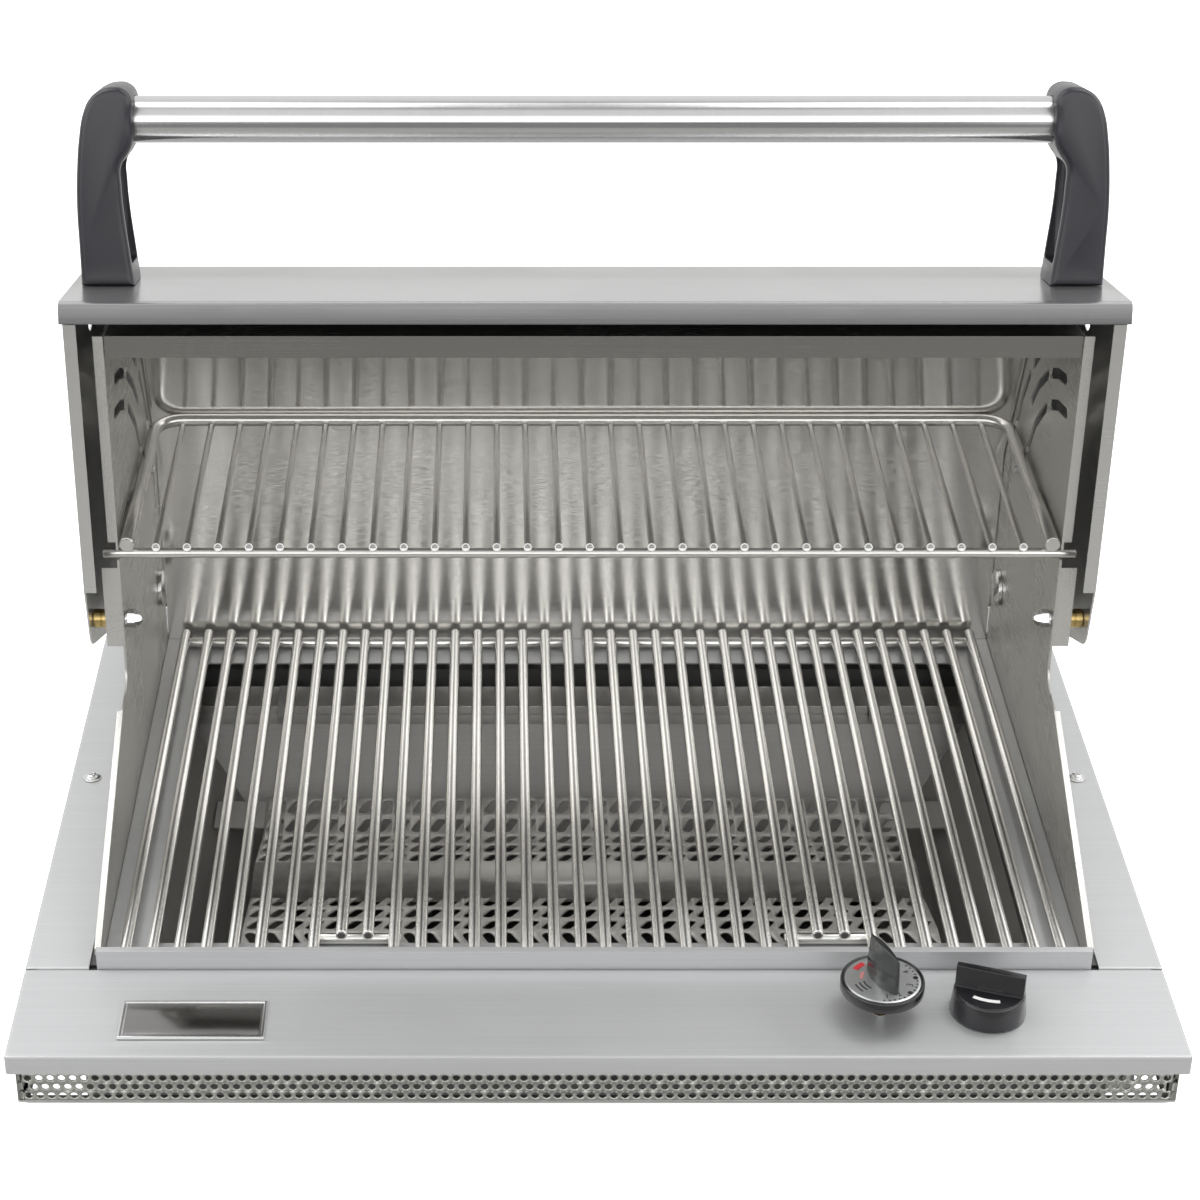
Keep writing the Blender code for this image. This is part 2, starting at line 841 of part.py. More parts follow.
def build_grate_frame():
    """Ledges that the grates rest on, with the front wall of the bay."""
    half = plate_inside / 2 - gap
    front = opening_front + gap + sheet
    rear = oven_back - sheet - gap - loose / 2
    low = ledge_rise - sheet
    inner = half - ledge_width
    ledge = outline("grate_frame",
                    [[(-half, y_at(front)), (half, y_at(front)), (half, y_at(rear)), (-half, y_at(rear))],
                     [(-inner, y_at(front + ledge_front)), (inner, y_at(front + ledge_front)),
                      (inner, y_at(rear - ledge_rear)), (-inner, y_at(rear - ledge_rear))]],
                    z_at(low), sheet, "XY", "brushed_steel")
    wall = folded("tool", [(front + sheet, low), (front, low), (front, frame_lip_rise - sheet),
                           (front + frame_lip_return, frame_lip_rise - sheet)],
                  frame_width / 2, None, 1, group=cutters)
    combine(ledge, wall, "UNION")


def plate_loop():
    """Edge of a side plate, from its front foot."""
    loop = [(wing_front, plate_root), (wing_front, wing_front_rise), (wing_rear, wing_rear_rise)]
    middle = (oven_front - notch_radius, wing_rear_rise + notch_radius)
    for step in range(4):
        turn = math.radians(-90 + 30 * step)
        loop.append((middle[0] + notch_radius * math.cos(turn), middle[1] + notch_radius * math.sin(turn)))
    wire = rack_front_wire / 2 + gap
    seat = rack_back + wire
    loop += [(oven_front, rack_rise - wire), (seat - wire, rack_rise - wire),
             (seat, rack_rise - wire / 2), (seat, rack_rise + wire / 2),
             (seat - wire, rack_rise + wire), (oven_front, rack_rise + wire)]
    loop += [(oven_front, oven_front_rise), (oven_knee, oven_knee_rise),
             (oven_shoulder, oven_shoulder_rise), (oven_back, oven_waist_rise), (oven_back, plate_root)]
    return loop


def build_side_plate(hand):
    """One side plate of the oven with its wing."""
    near = plate_inside / 2
    start, depth = span(hand, near, near + plate_sheet)
    holes = [arc_slot(slot_reach * share, low, high, arc_slot_width)
             for share, low, high in oven_slot_shares]
    holes.append(round_loop(pivot_back, pivot_rise, pivot_bolt / 2 + gap, 10))
    holes.append(round_loop(spit_back, spit_rise, spit_hole / 2, 12))
    holes.append(round_loop(rack_pin_back, pin_rise(), rack_pin / 4 + gap, 8))
    plate = outline(mirrored_name("side_plate", hand), [level(plate_loop())] + holes, start, depth, "YZ",
                    "oven_steel")
    slope = math.atan2(wing_rear_rise - wing_front_rise, wing_rear - wing_front)
    drop = hem_width / math.cos(slope)
    hem = [(wing_front, wing_front_rise), (wing_front, wing_front_rise - drop),
           (wing_rear, wing_rear_rise - drop), (wing_rear, wing_rear_rise)]
    begin, thick = span(hand, near + plate_sheet / 2, near + plate_sheet + hem_thickness)
    combine(plate, outline("tool", [level(hem)], begin, thick, "YZ", group=cutters), "UNION")
    edges = ((flange_width, flange_bottom, flange_top), (roll_width, roll_bottom, oven_front_rise))
    for wide, low, high in edges:
        outer = near + wide
        ends = sorted((hand * (near + plate_sheet / 2), hand * outer))
        wing = tool_block(spot(ends[0], oven_front, low), spot(ends[1], oven_front + sheet, high))
        combine(plate, wing, "UNION")
    return plate


def pin_rise():
    """Height of the pin under the warming rack's arm."""
    return rack_arm_rise() - rack_rod / 2 - gap - rack_pin / 2


def build_oven():
    """Back, top, side plates, spit hole caps and rack pins."""
    half = plate_inside / 2 - gap - loose / 2
    waist = oven_waist_rise
    folded("oven_back", [(oven_back - gap, oven_back_root), (oven_back - gap, waist),
                         (oven_shoulder, oven_shoulder_rise - 2 * sheet)], half, "oven_steel", 1)
    lip_back = oven_front + sheet
    top = oven_front_rise - gap
    roof = [(oven_shoulder - sheet, oven_shoulder_rise - gap), (oven_knee - gap, oven_knee_rise - gap),
            (lip_back, top), (lip_back, top - oven_lip_drop)]
    folded("oven_top", roof, half, "oven_steel", 1)
    for hand in (-1, 1):
        build_side_plate(hand)
        inner = plate_inside / 2 - gap
        cap = [(0, spit_cap_height), (spit_cap * 0.36, spit_cap_height),
               (spit_cap / 2, spit_cap_height / 2), (spit_cap / 2, 0), (0, 0)]
        turned(mirrored_name("spit_cap", hand), cap, spot(hand * inner, spit_back, spit_rise),
               (-hand, 0, 0), "polished_steel", 16)
        arm = rack_arm_width / 2 - rack_rod / 2
        shank = plate_inside / 2 + plate_sheet + rack_pin / 4 - inner
        reach = inner - arm
        pin = [(0, reach), (rack_pin / 2, reach), (rack_pin / 2, 0), (rack_pin / 4, 0),
               (rack_pin / 4, -shank), (0, -shank)]
        turned(mirrored_name("rack_pin", hand), pin, spot(hand * inner, rack_pin_back, pin_rise()),
               (-hand, 0, 0), "rod_steel", 10)


def hood_line():
    """Fold line of the hood skin when shut, from the inner edge of its lip."""
    lip = Vector((hood_lip_back, hood_lip_rise))
    brow = Vector((hood_brow_back, hood_brow_rise))
    climb = (brow - lip).normalized()
    inward = Vector((climb.y, -climb.x))
    end = Vector((hood_end_back, hood_end_rise))
    toward = (Vector((pivot_back, pivot_rise)) - end).normalized()
    points = [lip + inward * hood_lip_return, lip, brow, Vector((hood_crown_back, hood_crown_rise)),
              Vector((hood_top_back, hood_top_rise)), end, end + toward * hood_end_return]
    return [tuple(point) for point in points]


def inset_hood_line(depth):
    """Corners of the hood skin moved in by a wall and a clearance, without its returns."""
    points = [Vector(point) for point in hood_line()[1:-1]]
    sides = [(after - before).normalized() for before, after in zip(points, points[1:])]
    inset = []
    for index, point in enumerate(points):
        before = sides[max(index - 1, 0)]
        after = sides[min(index, len(sides) - 1)]
        inner_before = Vector((before.y, -before.x))
        inner_after = Vector((after.y, -after.x))
        middle = (inner_before + inner_after).normalized()
        inset.append(point + middle * (depth / middle.dot(inner_before)))
    lip, brow = inset[0], inset[1]
    reach = (points[-1] - Vector((pivot_back, pivot_rise))).length
    inset[0] = lip + (brow - lip).normalized() * depth
    lead_in = depth + hood_end_return * hood_tab / reach
    inset[-1] = inset[-1] + (inset[-2] - inset[-1]).normalized() * lead_in
    return inset


def hood_side_loop():
    """Edge of a hood side plate when shut."""
    inset = inset_hood_line(sheet + gap)
    pivot = Vector((pivot_back, pivot_rise))
    trim = 0.7 * hood_bend
    cheek = Vector((hood_cheek_back, hood_cheek_rise))
    first = inset[0] + (cheek - inset[0]).normalized() * trim
    last = inset[-1] + (pivot - inset[-1]).normalized() * trim
    inset[0] = inset[0] + (inset[1] - inset[0]).normalized() * trim
    inset[-1] = inset[-1] + (inset[-2] - inset[-1]).normalized() * trim
    inset = [first] + inset + [last]
    loop = [tuple(point) for point in inset]
    away = inset[-1] - pivot
    start = math.atan2(away.y, away.x) - math.acos(hood_tab / away.length)
    cheek = Vector((hood_cheek_back, hood_cheek_rise)) - pivot
    end = math.atan2(cheek.y, cheek.x) + math.acos(hood_tab / cheek.length)
    while end > start:
        end -= 2 * math.pi
    steps = 6
    for step in range(steps + 1):
        turn = start + (end - start) * step / steps
        loop.append((pivot.x + hood_tab * math.cos(turn), pivot.y + hood_tab * math.sin(turn)))
    loop.append((hood_cheek_back, hood_cheek_rise))
    return loop


def swing(points):
    """World Y and Z of points on the shut hood, swung open."""
    return level([opened(back, rise) for back, rise in points])


def build_hood():
    """Hood skin and its two side plates."""
    skin = [opened(back, rise) for back, rise in hood_line()]
    folded("hood_skin", skin, hood_width / 2, "hood_steel", -1, bend=hood_bend)
    climb, outward, foot = handle_frame()
    pilot = foot
    for hand in (-1, 1):
        near = hood_side_width / 2 - sheet
        start, depth = span(hand, near, near + sheet)
        bolt = round_loop(pivot_back, pivot_rise, pivot_bolt / 2 + gap, 10)
        vent_spot = opened(hood_vent_back, hood_vent_rise)
        vent = round_loop(vent_spot[0], vent_spot[1], hood_vent / 2, 12)
        loops = [swing(hood_side_loop()), bolt, vent]
        plate = outline(mirrored_name("hood_side", hand), loops, start, depth,
                        "YZ", "hood_steel")
        combine(plate, side_flange(hand), "UNION")
        hole = pilot.copy()
        hole.x = hand * bracket_middle()
        tool = tool_round(hole, bracket_screw / 2 + gap, 4 * overrun, outward, 10)
        combine(bpy.data.objects["hood_skin"], tool)


def side_flange(hand):
    """Return along the open edge of a hood side plate."""
    lip = inset_hood_line(sheet + gap)[0]
    cheek = Vector((hood_cheek_back, hood_cheek_rise))
    along = (cheek - lip).normalized()
    inward = Vector((-along.y, along.x))
    start = lip + along * hood_lip_return
    strip = [start, cheek, cheek + inward * sheet, start + inward * sheet]
    outer = hood_side_width / 2 - sheet / 2
    begin, thick = span(hand, hood_side_width / 2 - hood_side_flange, outer)
    return outline("tool", [swing([tuple(point) for point in strip])], begin, thick, "YZ", group=cutters)


def handle_frame():
    """Directions along and out of the open hood's front panel, with the middle of the handle's feet."""
    lip = spot(0, *opened(hood_lip_back, hood_lip_rise))
    brow = spot(0, *opened(hood_brow_back, hood_brow_rise))
    climb = (brow - lip).normalized()
    outward = Vector((0, -climb.z, climb.y))
    return climb, outward, lip + climb * handle_climb


def bracket_middle():
    """Distance of a bracket's screw from the middle of the grill."""
    return (bracket_inner + bracket_outer) / 2


def bracket_points():
    """Outline of a handle bracket as distances from the middle and from the hood."""
    width = bracket_outer - bracket_inner
    return [(bracket_outer - share * width, gap + height * bracket_height)
            for share, height in bracket_outline_shares]


def build_bracket(hand):
    """One cast bracket of the handle, hollowed on its inner side."""
    climb, outward, foot = handle_frame()
    points = bracket_points()
    shape = bmesh.new()
    half = climb * (bracket_depth / 2)
    corner = foot - half
    rim = [shape.verts.new(corner + Vector((hand * side, 0, 0)) + outward * height)
           for side, height in points]
    face = shape.faces.new(rim)
    made = bmesh.ops.extrude_face_region(shape, geom=[face])["geom"]
    moved = [part for part in made if isinstance(part, bmesh.types.BMVert)]
    bmesh.ops.translate(shape, verts=moved, vec=2 * half)
    bmesh.ops.recalc_face_normals(shape, faces=shape.faces)
    item = finish_mesh(mirrored_name("handle_bracket", hand), shape, "black_casting")
    rounding = item.modifiers.new("rounding", "BEVEL")
    rounding.width = bracket_bend
    rounding.segments = 2
    rounding.limit_method = "ANGLE"
    rounding.angle_limit = math.radians(60)
    top = handle_reach - handle_diameter / 2 - bracket_wall
    low, high = bracket_floor, top
    inner, outer = bracket_inner - overrun, bracket_outer - 1.4 * bracket_wall
    pocket = framed_block(foot, climb, outward, hand, (inner, outer), bracket_depth / 2 - bracket_wall,
                          (low, high))
    combine(item, pocket)
    socket = foot + outward * handle_reach
    length = handle_socket + overrun
    socket.x = hand * (bracket_inner - overrun + length / 2)
    combine(item, tool_round(socket, handle_diameter / 2 + gap, length, (1, 0, 0), 20))
    screw = foot.copy()
    screw.x = hand * bracket_middle()
    combine(item, tool_round(screw, bracket_screw / 2 + gap, 2 * (bracket_floor + overrun), outward, 10))
    return item


def framed_block(foot, climb, outward, hand, sides, half, heights):
    """A box laid along the hood's front panel, as a cutter."""
    shape = bmesh.new()
    bmesh.ops.create_cube(shape, size=1.0)
    size = Vector((sides[1] - sides[0], 2 * half, heights[1] - heights[0]))
    bmesh.ops.scale(shape, vec=size, verts=shape.verts)
    axes = Matrix((Vector((1, 0, 0)), climb, outward)).transposed()
    bmesh.ops.rotate(shape, cent=(0, 0, 0), matrix=axes, verts=shape.verts)
    place = foot + outward * (sum(heights) / 2)
    place.x = hand * sum(sides) / 2
    bmesh.ops.translate(shape, vec=place, verts=shape.verts)
    return finish_mesh("tool", shape, group=cutters)


def build_handle():
    """Handle tube, brackets and their screws."""
    climb, outward, foot = handle_frame()
    center = foot + outward * handle_reach
    half = bracket_inner + handle_socket - gap
    ends = [center + Vector((hand * half, 0, 0)) for hand in (-1, 1)]
    tubes("handle_tube", [ends], handle_diameter / 2, "polished_steel", detail=8)
    for hand in (-1, 1):
        build_bracket(hand)
        place = foot.copy()
        place.x = hand * bracket_middle()
        head = sheet + gap
        shank = bracket_floor * 0.8
        screw = [(0, shank), (bracket_screw / 2, shank), (bracket_screw / 2, -head),
                 (bracket_screw_head / 2, -head), (bracket_screw_head / 2, -head - bracket_screw / 3),
                 (bracket_screw_head / 4, -head - bracket_screw / 2), (0, -head - bracket_screw / 2)]
        turned(mirrored_name("bracket_screw", hand), screw, place, outward, "polished_steel", 10)


def build_pivot(hand):
    """Bolt, bushing, washer and nut that the hood turns on."""
    outer = hood_side_width / 2
    plate_out = plate_inside / 2 + plate_sheet
    center = spot(0, pivot_back, pivot_rise)
    axis = (hand, 0, 0)
    inner = plate_inside / 2
    tip = inner - gap - washer_height - nut_height * 0.6
    crown = outer + gap + pivot_head_height
    bolt = [(0, crown), (pivot_head * 0.30, crown - pivot_head_height * 0.2),
            (pivot_head / 2, outer + gap), (pivot_bolt / 2, outer + gap), (pivot_bolt / 2, tip), (0, tip)]
    turned(mirrored_name("pivot_bolt", hand), bolt, center, axis, "polished_steel", 12)
    bore = pivot_bolt / 2 + gap
    far, near = outer - sheet - gap, plate_out + gap
    bushing = [(bore, far), (bushing_outer / 2, far), (bushing_outer / 2, near), (bore, near)]
    turned(mirrored_name("pivot_bushing", hand), bushing, center, axis, "brass", 12, ring=True)
    face = inner - gap
    washer = [(bore, face), (washer_outer / 2, face), (washer_outer / 2, face - washer_height),
              (bore, face - washer_height)]
    turned(mirrored_name("pivot_washer", hand), washer, center, axis, "polished_steel", 10, ring=True)
    seat = face - washer_height - gap / 2
    hexagon = nut_flats / math.sqrt(3)
    shape = bmesh.new()
    made = bmesh.ops.create_cone(shape, cap_ends=True, segments=6, radius1=hexagon, radius2=hexagon,
                                 depth=nut_height / 2)
    bmesh.ops.translate(shape, verts=made["verts"], vec=(0, 0, nut_height / 4))
    top = [face for face in shape.faces if face.normal.z > 0.9]
    dome = bmesh.ops.inset_region(shape, faces=top, thickness=nut_flats / 12)
    for share, sink in ((0.30, 0.82), (0.20, 0.45)):
        lifted = bmesh.ops.extrude_face_region(shape, geom=top)["geom"]
        bmesh.ops.delete(shape, geom=top, context="FACES")
        fresh = [part for part in lifted if isinstance(part, bmesh.types.BMVert)]
        top = [part for part in lifted if isinstance(part, bmesh.types.BMFace)]
        bmesh.ops.translate(shape, verts=fresh, vec=(0, 0, nut_height * share))
        middle = sum((vert.co for vert in fresh), Vector()) / len(fresh)
        bmesh.ops.scale(shape, verts=fresh, vec=(sink, sink, 1), space=Matrix.Translation(-middle))
    bmesh.ops.recalc_face_normals(shape, faces=shape.faces)
    turn = Vector((0, 0, 1)).rotation_difference(Vector((-hand, 0, 0))).to_matrix()
    bmesh.ops.rotate(shape, cent=(0, 0, 0), matrix=turn, verts=shape.verts)
    place = center.copy()
    place.x = hand * seat
    bmesh.ops.translate(shape, vec=place, verts=shape.verts)
    nut = finish_mesh(mirrored_name("pivot_nut", hand), shape, "polished_steel")
    bore_at = center.copy()
    bore_at.x = hand * (seat - nut_height * 0.3)
    combine(nut, tool_round(bore_at, bore, nut_height * 0.8 + gap, (1, 0, 0), 10))


def build_grate(hand):
    """One grate of rods on cross rods, with its lifting slot."""
    name = mirrored_name("grate", hand)
    middle = hand * (grate_gap + (rod_count - 1) * rod_pitch) / 2
    sides = [middle + (number - (rod_count - 1) / 2) * rod_pitch for number in range(rod_count)]
    runs = []
    tapers = []
    for number, side in enumerate(sides):
        front = short_rod_end if number in short_rods else rod_front
        runs.append([spot(side, back, rod_axis) for back in (front, rod_rear - rod_tip, rod_rear)])
        tapers.append((1.0, 1.0, 0.45))
    grate = tubes(name, runs, rod / 2, "rod_steel", tapers=tapers, detail=1)
    over = rod_pitch / 4
    bars = [[spot(sides[0] - over, back, cross_axis), spot(sides[-1] + over, back, cross_axis)]
            for back in (cross_front, cross_rear)]
    low, high = sides[short_rods[0] - 1] - over, sides[short_rods[1] + 1] + over
    bars.append([spot(low, short_cross, cross_axis), spot(high, short_cross, cross_axis)])
    combine(grate, tubes("tool", bars, rod / 2, group=cutters), "UNION")


def rack_arm_rise():
    """Rise of the axis of the rack's bent frame rod, which lies on the front wire."""
    return rack_rise + rack_front_wire / 2 + rack_rod / 2 - weld


def build_rack():
    """Warming rack of wires on a bent frame rod."""
    arm = rack_arm_width / 2
    rise = rack_arm_rise()
    front = rack_back - rack_front_wire / 2
    corners = [spot(-arm, front, rise), spot(-arm, rack_rear, rise), spot(arm, rack_rear, rise),
               spot(arm, front, rise)]
    rack = tubes("warming_rack", [rounded_run(corners, rack_corner)], rack_rod / 2, "rod_steel")
    wire = [[spot(-rack_width / 2, rack_back, rack_rise), spot(rack_width / 2, rack_back, rack_rise)]]
    combine(rack, tubes("tool", wire, rack_front_wire / 2, group=cutters), "UNION")
    level_rise = rack_rise + rack_front_wire / 2 + rack_wire / 2 - weld
    wires = []
    for number in range(rack_wire_count):
        side = (number - (rack_wire_count - 1) / 2) * rack_wire_pitch
        wires.append([spot(side, front, level_rise), spot(side, rack_rear, level_rise)])
    combine(rack, tubes("tool", wires, rack_wire / 2, detail=1, group=cutters), "UNION")


def grid_line():
    """Fold line of the flavour grid from the rear."""
    depth = grid_rear - grid_front
    flat = grid_rear - grid_flat_share * depth
    band = flat - grid_rise_share * depth
    upper = band - grid_band_share * depth
    shelf = upper - grid_upper_share * depth
    return [(grid_rear, grid_rear_rise), (flat, grid_rear_rise), (band, grid_band_rise),
            (upper, grid_band_rise), (shelf, grid_upper_rise), (grid_front, grid_upper_rise),
            (grid_front, liner_face(grid_front - liner_front, True) + gap)]


def build_grid():
    """Flavour grid with rows of slanted slots."""
    line = grid_line()
    grid = folded("flavor_grid", line, grid_width / 2, "oven_steel", 1)
    shape = bmesh.new()
    rows = []
    for (start, end, count, lean) in ((0, 1, 2, 1), (1, 2, 3, 1), (3, 4, 3, 1), (4, 5, 2, -1)):
        for step in range(count):
            share = (step + 0.5) / count
            back = line[start][0] + (line[end][0] - line[start][0]) * share
            rise = line[start][1] + (line[end][1] - line[start][1]) * share
            reach = abs(line[start][0] - line[end][0]) / count
            rows.append((back, rise, lean, min(slot_length, reach * 0.72)))
    columns = (int(grid_width / slot_pitch) - 1) // 2
    for back, rise, lean, length in rows:
        for column in range(columns):
            side = (column - (columns - 1) / 2) * slot_pitch * 2
            made = bmesh.ops.create_cube(shape, size=1.0)["verts"]
            bmesh.ops.scale(shape, vec=(slot_width * 0.8, length, 6 * overrun / 2), verts=made)
            for vert in made:
                vert.co.x += lean * slot_slant * (1 if vert.co.y > 0 else -1) / 2
            bmesh.ops.translate(shape, vec=spot(side, back, rise), verts=made)
    combine(grid, finish_mesh("tool", shape, group=cutters))


def liner_slope(front_wall):
    """Run and fall of the liner's front or side wall as a unit direction."""
    run = liner_base_front - liner_front if front_wall else (liner_width - liner_base_width) / 2
    return Vector((run, liner_base_rise - liner_rise)).normalized()


def liner_face(distance, front_wall):
    """Rise of the liner's inner face at a distance in from the rim of its front or side wall."""
    along = liner_slope(front_wall)
    return liner_rise + sheet * along.x + (distance + sheet * along.y) * along.y / along.x


def build_liner():
    """Sloped liner of the firebox with its flange and the holes for burner and lead."""
    half = liner_width / 2
    rings = [(half, liner_front, liner_rear, liner_rise - sheet / 2),
             (liner_base_width / 2, liner_base_front, liner_base_rear, liner_base_rise)]
    liner = pan("firebox_liner", rings, "oven_steel", side=-1)
    flange = outline("tool", [rectangle(shell_half() - sheet - gap, shell_front() + sheet + gap,
                                        liner_rear + liner_shelf),
                              rectangle(half - sheet, liner_front + sheet, liner_rear - sheet)],
                     z_at(liner_rise - sheet), sheet, "XY", group=cutters)
    combine(liner, flange, "UNION")
    return liner


def build_ledges():
    """Shelf behind the liner with the straps that tie it, and the rails under the grid."""
    half = plate_inside / 2 - gap
    fold = liner_rise + gap
    folded("rear_ledge", [(rear_ledge_front, fold), (rear_ledge_front, rear_ledge_rise),
                          (rear_ledge_rear, rear_ledge_rise),
                          (rear_ledge_rear, rear_ledge_rise - rear_ledge_fold)], half, "oven_steel", -1)
    for hand in (-1, 1):
        top = rear_ledge_rise + gap + sheet
        foot = rear_ledge_front - hanger_overhang
        strap = [(rear_ledge_rear - sheet, top), (foot, top), (foot, fold)]
        item = folded(mirrored_name("liner_hanger", hand), strap, hanger_width / 2, "black_casting", 1)
        item.data.transform(Matrix.Translation(Vector((hand * hanger_side, 0, 0))))
        rail_rise = grid_rear_rise - gap - sheet
        along = liner_slope(False)
        reach = (rail_rise - sheet - liner_rise - sheet * along.x) * along.x / along.y - sheet * along.y
        wall = liner_width / 2 - reach - gap
        ends = sorted((hand * (grid_width / 2 - 3 * overrun), hand * wall))
        block(mirrored_name("grid_rail", hand), spot(ends[0], rail_front, rail_rise - sheet),
              spot(ends[1], rail_rear, rail_rise), "oven_steel")


def build_burner(liner):
    """U shaped burner on its strap, with its inlet through the front wall."""
    corners = [spot(control_side, inlet_mouth, inlet_rise),
               spot(control_side, liner_front + overrun, inlet_rise),
               spot(control_side, burner_front, burner_rise), spot(control_side, burner_rear, burner_rise),
               spot(-burner_half, burner_rear, burner_rise), spot(-burner_half, burner_front, burner_rise)]
    run = rounded_run(corners, burner_corner / 2, 3)
    tubes("burner", [run], burner_tube / 2, "cast_iron", detail=3)
    for item in (liner, bpy.data.objects["flavor_grid"]):
        throat = tubes("tool", [run[:-6]], burner_tube / 2 + loose, group=cutters, detail=3)
        combine(item, throat)
    top = burner_rise - burner_tube / 2 - gap
    along = liner_slope(False)
    reach = (top - sheet - liner_rise - sheet * along.x) * along.x / along.y - sheet * along.y
    half = liner_width / 2 - reach - gap
    block("burner_strap", spot(-half, strap_front, top - sheet), spot(half, strap_front + strap_depth, top),
          "oven_steel")
    return top


def build_gas_train():
    """Valve, inlet pipe and igniter body under the control panel."""
    half = valve_body / 2
    low = valve_top - valve_body_height
    body = block("gas_valve", spot(control_side - half, control_back - half, low),
                 spot(control_side + half, control_back + half, valve_top), "brass")
    nozzle = [[spot(control_side, control_back, inlet_rise),
               spot(control_side, inlet_mouth - gap, inlet_rise)]]
    combine(body, tubes("tool", nozzle, orifice / 2, group=cutters), "UNION")
    neck_top = -sheet - gap
    neck = tool_round(spot(control_side, control_back, (valve_top + neck_top) / 2 - sheet), valve_neck / 2,
                      neck_top - valve_top + 2 * sheet, (0, 0, 1), 14)
    combine(body, neck, "UNION")
    depth = neck_top - stem_bottom() + knob_travel + 2 * loose
    combine(body, tool_round(spot(control_side, control_back, neck_top + overrun - (depth + overrun) / 2),
                             stem / 2 + loose, depth + overrun, (0, 0, 1), 12))
    start = control_side + half + gap
    pipe = tubes("gas_inlet", [[spot(start, pipe_back, pipe_rise), spot(pipe_end, pipe_back, pipe_rise)]],
                 gas_pipe / 2, "brass", detail=3)
    combine(pipe, tool_round(spot(pipe_end - pipe_fitting / 4, pipe_back, pipe_rise), pipe_fitting / 2,
                             pipe_fitting / 2, (1, 0, 0), 6), "UNION")
    module_top = -sheet - gap
    body = [(0, module_top), (module_diameter / 2, module_top),
            (module_diameter / 2, module_top - module_height),
            (0, module_top - module_height)]
    place = spot(igniter_side, control_back, 0)
    module = turned("igniter_module", body, place, (0, 0, 1), "black_plastic", 14)
    combine(module, tool_round(spot(igniter_side, control_back, module_top), stem / 2 + loose, 9 * overrun,
                               (0, 0, 1), 12))


def stem_bottom():
    """Rise of the lower end of the valve stem."""
    return valve_top - 2 * overrun


def build_knobs():
    """Gas knob with its stem and dial plate, and the igniter knob."""
    center = spot(control_side, control_back, 0)
    stem_low = stem_bottom()
    top = knob_lift + knob_rim / 2
    shank = [(0, top), (stem / 2, top), (stem / 2, stem_low), (0, stem_low)]
    turned("valve_stem", shank, center, (0, 0, 1), "brass", 12)
    radius = knob_diameter / 2
    high = knob_lift + knob_rim
    dish = radius - 2 * sheet
    rim = [(0, high - knob_dish), (dish, high - knob_dish), (dish, high), (radius, high - sheet / 2),
           (radius, knob_lift), (radius - sheet, knob_lift), (0, knob_lift)]
    knob = turned("control_knob", rim, center, (0, 0, 1), "black_plastic", 24)
    blade = knob_blade(center, blade_length, blade_width, knob_lift + sheet, high + blade_rise, blade_turn,
                       top_share=blade_top_share)
    combine(knob, blade, "UNION")
    combine(knob, tool_round(center + Vector((0, 0, knob_lift)), stem / 2 + gap, knob_rim + 2 * gap,
                             (0, 0, 1), 12))
    face = [(0, high - gap), (dish - gap, high - gap), (dish - gap, high - knob_dish + gap / 2),
            (0, high - knob_dish + gap / 2)]
    dial = turned("dial_plate", face, center, (0, 0, 1), "polished_steel", 24)
    slot = knob_blade(center, blade_length + 2 * gap, blade_width + 2 * gap, knob_lift, high + overrun,
                      blade_turn)
    combine(dial, slot)
    center = spot(igniter_side, control_back, 0)
    radius = igniter_diameter / 2
    high = igniter_lift + igniter_height
    body = [(0, high), (radius * 0.90, high), (radius * 0.94, high - sheet), (radius, igniter_lift),
            (0, igniter_lift)]
    knob = turned("igniter_knob", body, center, (0, 0, 1), "black_plastic", 24)
    crown = high + igniter_grip_rise
    grip = knob_blade(center, igniter_diameter * igniter_grip_share, igniter_grip, high - overrun, crown,
                      igniter_turn, 0.06, igniter_top_share)
    combine(knob, grip, "UNION")
    foot = center + Vector((0, 0, igniter_lift - 2 * overrun))
    pin = tool_round(foot, stem / 2, 5 * overrun, (0, 0, 1), 12)
    combine(knob, pin, "UNION")


def knob_blade(center, length, width, low, high, turn, pinch=0.30, top_share=1.0):
    """A bar grip across a knob, narrower at its ends by pinch and at its top by a share."""
    ends = [(length / 2, width * (0.5 - pinch)), (length / 4, width / 2), (-length / 4, width / 2),
            (-length / 2, width * (0.5 - pinch)), (-length / 2, -width * (0.5 - pinch)),
            (-length / 4, -width / 2),
            (length / 4, -width / 2), (length / 2, -width * (0.5 - pinch))]
    loop = [(across, up) for across, up in ends]
    item = outline("tool", [loop], z_at(low), high - low, "XY", group=cutters)
    for vert in item.data.vertices:
        if vert.co.z > z_at((low + high) / 2):
            vert.co.y *= top_share
    item.data.transform(Matrix.Rotation(math.radians(turn), 4, "Z"))
    item.data.transform(Matrix.Translation(Vector((center.x, center.y, 0))))
    return item


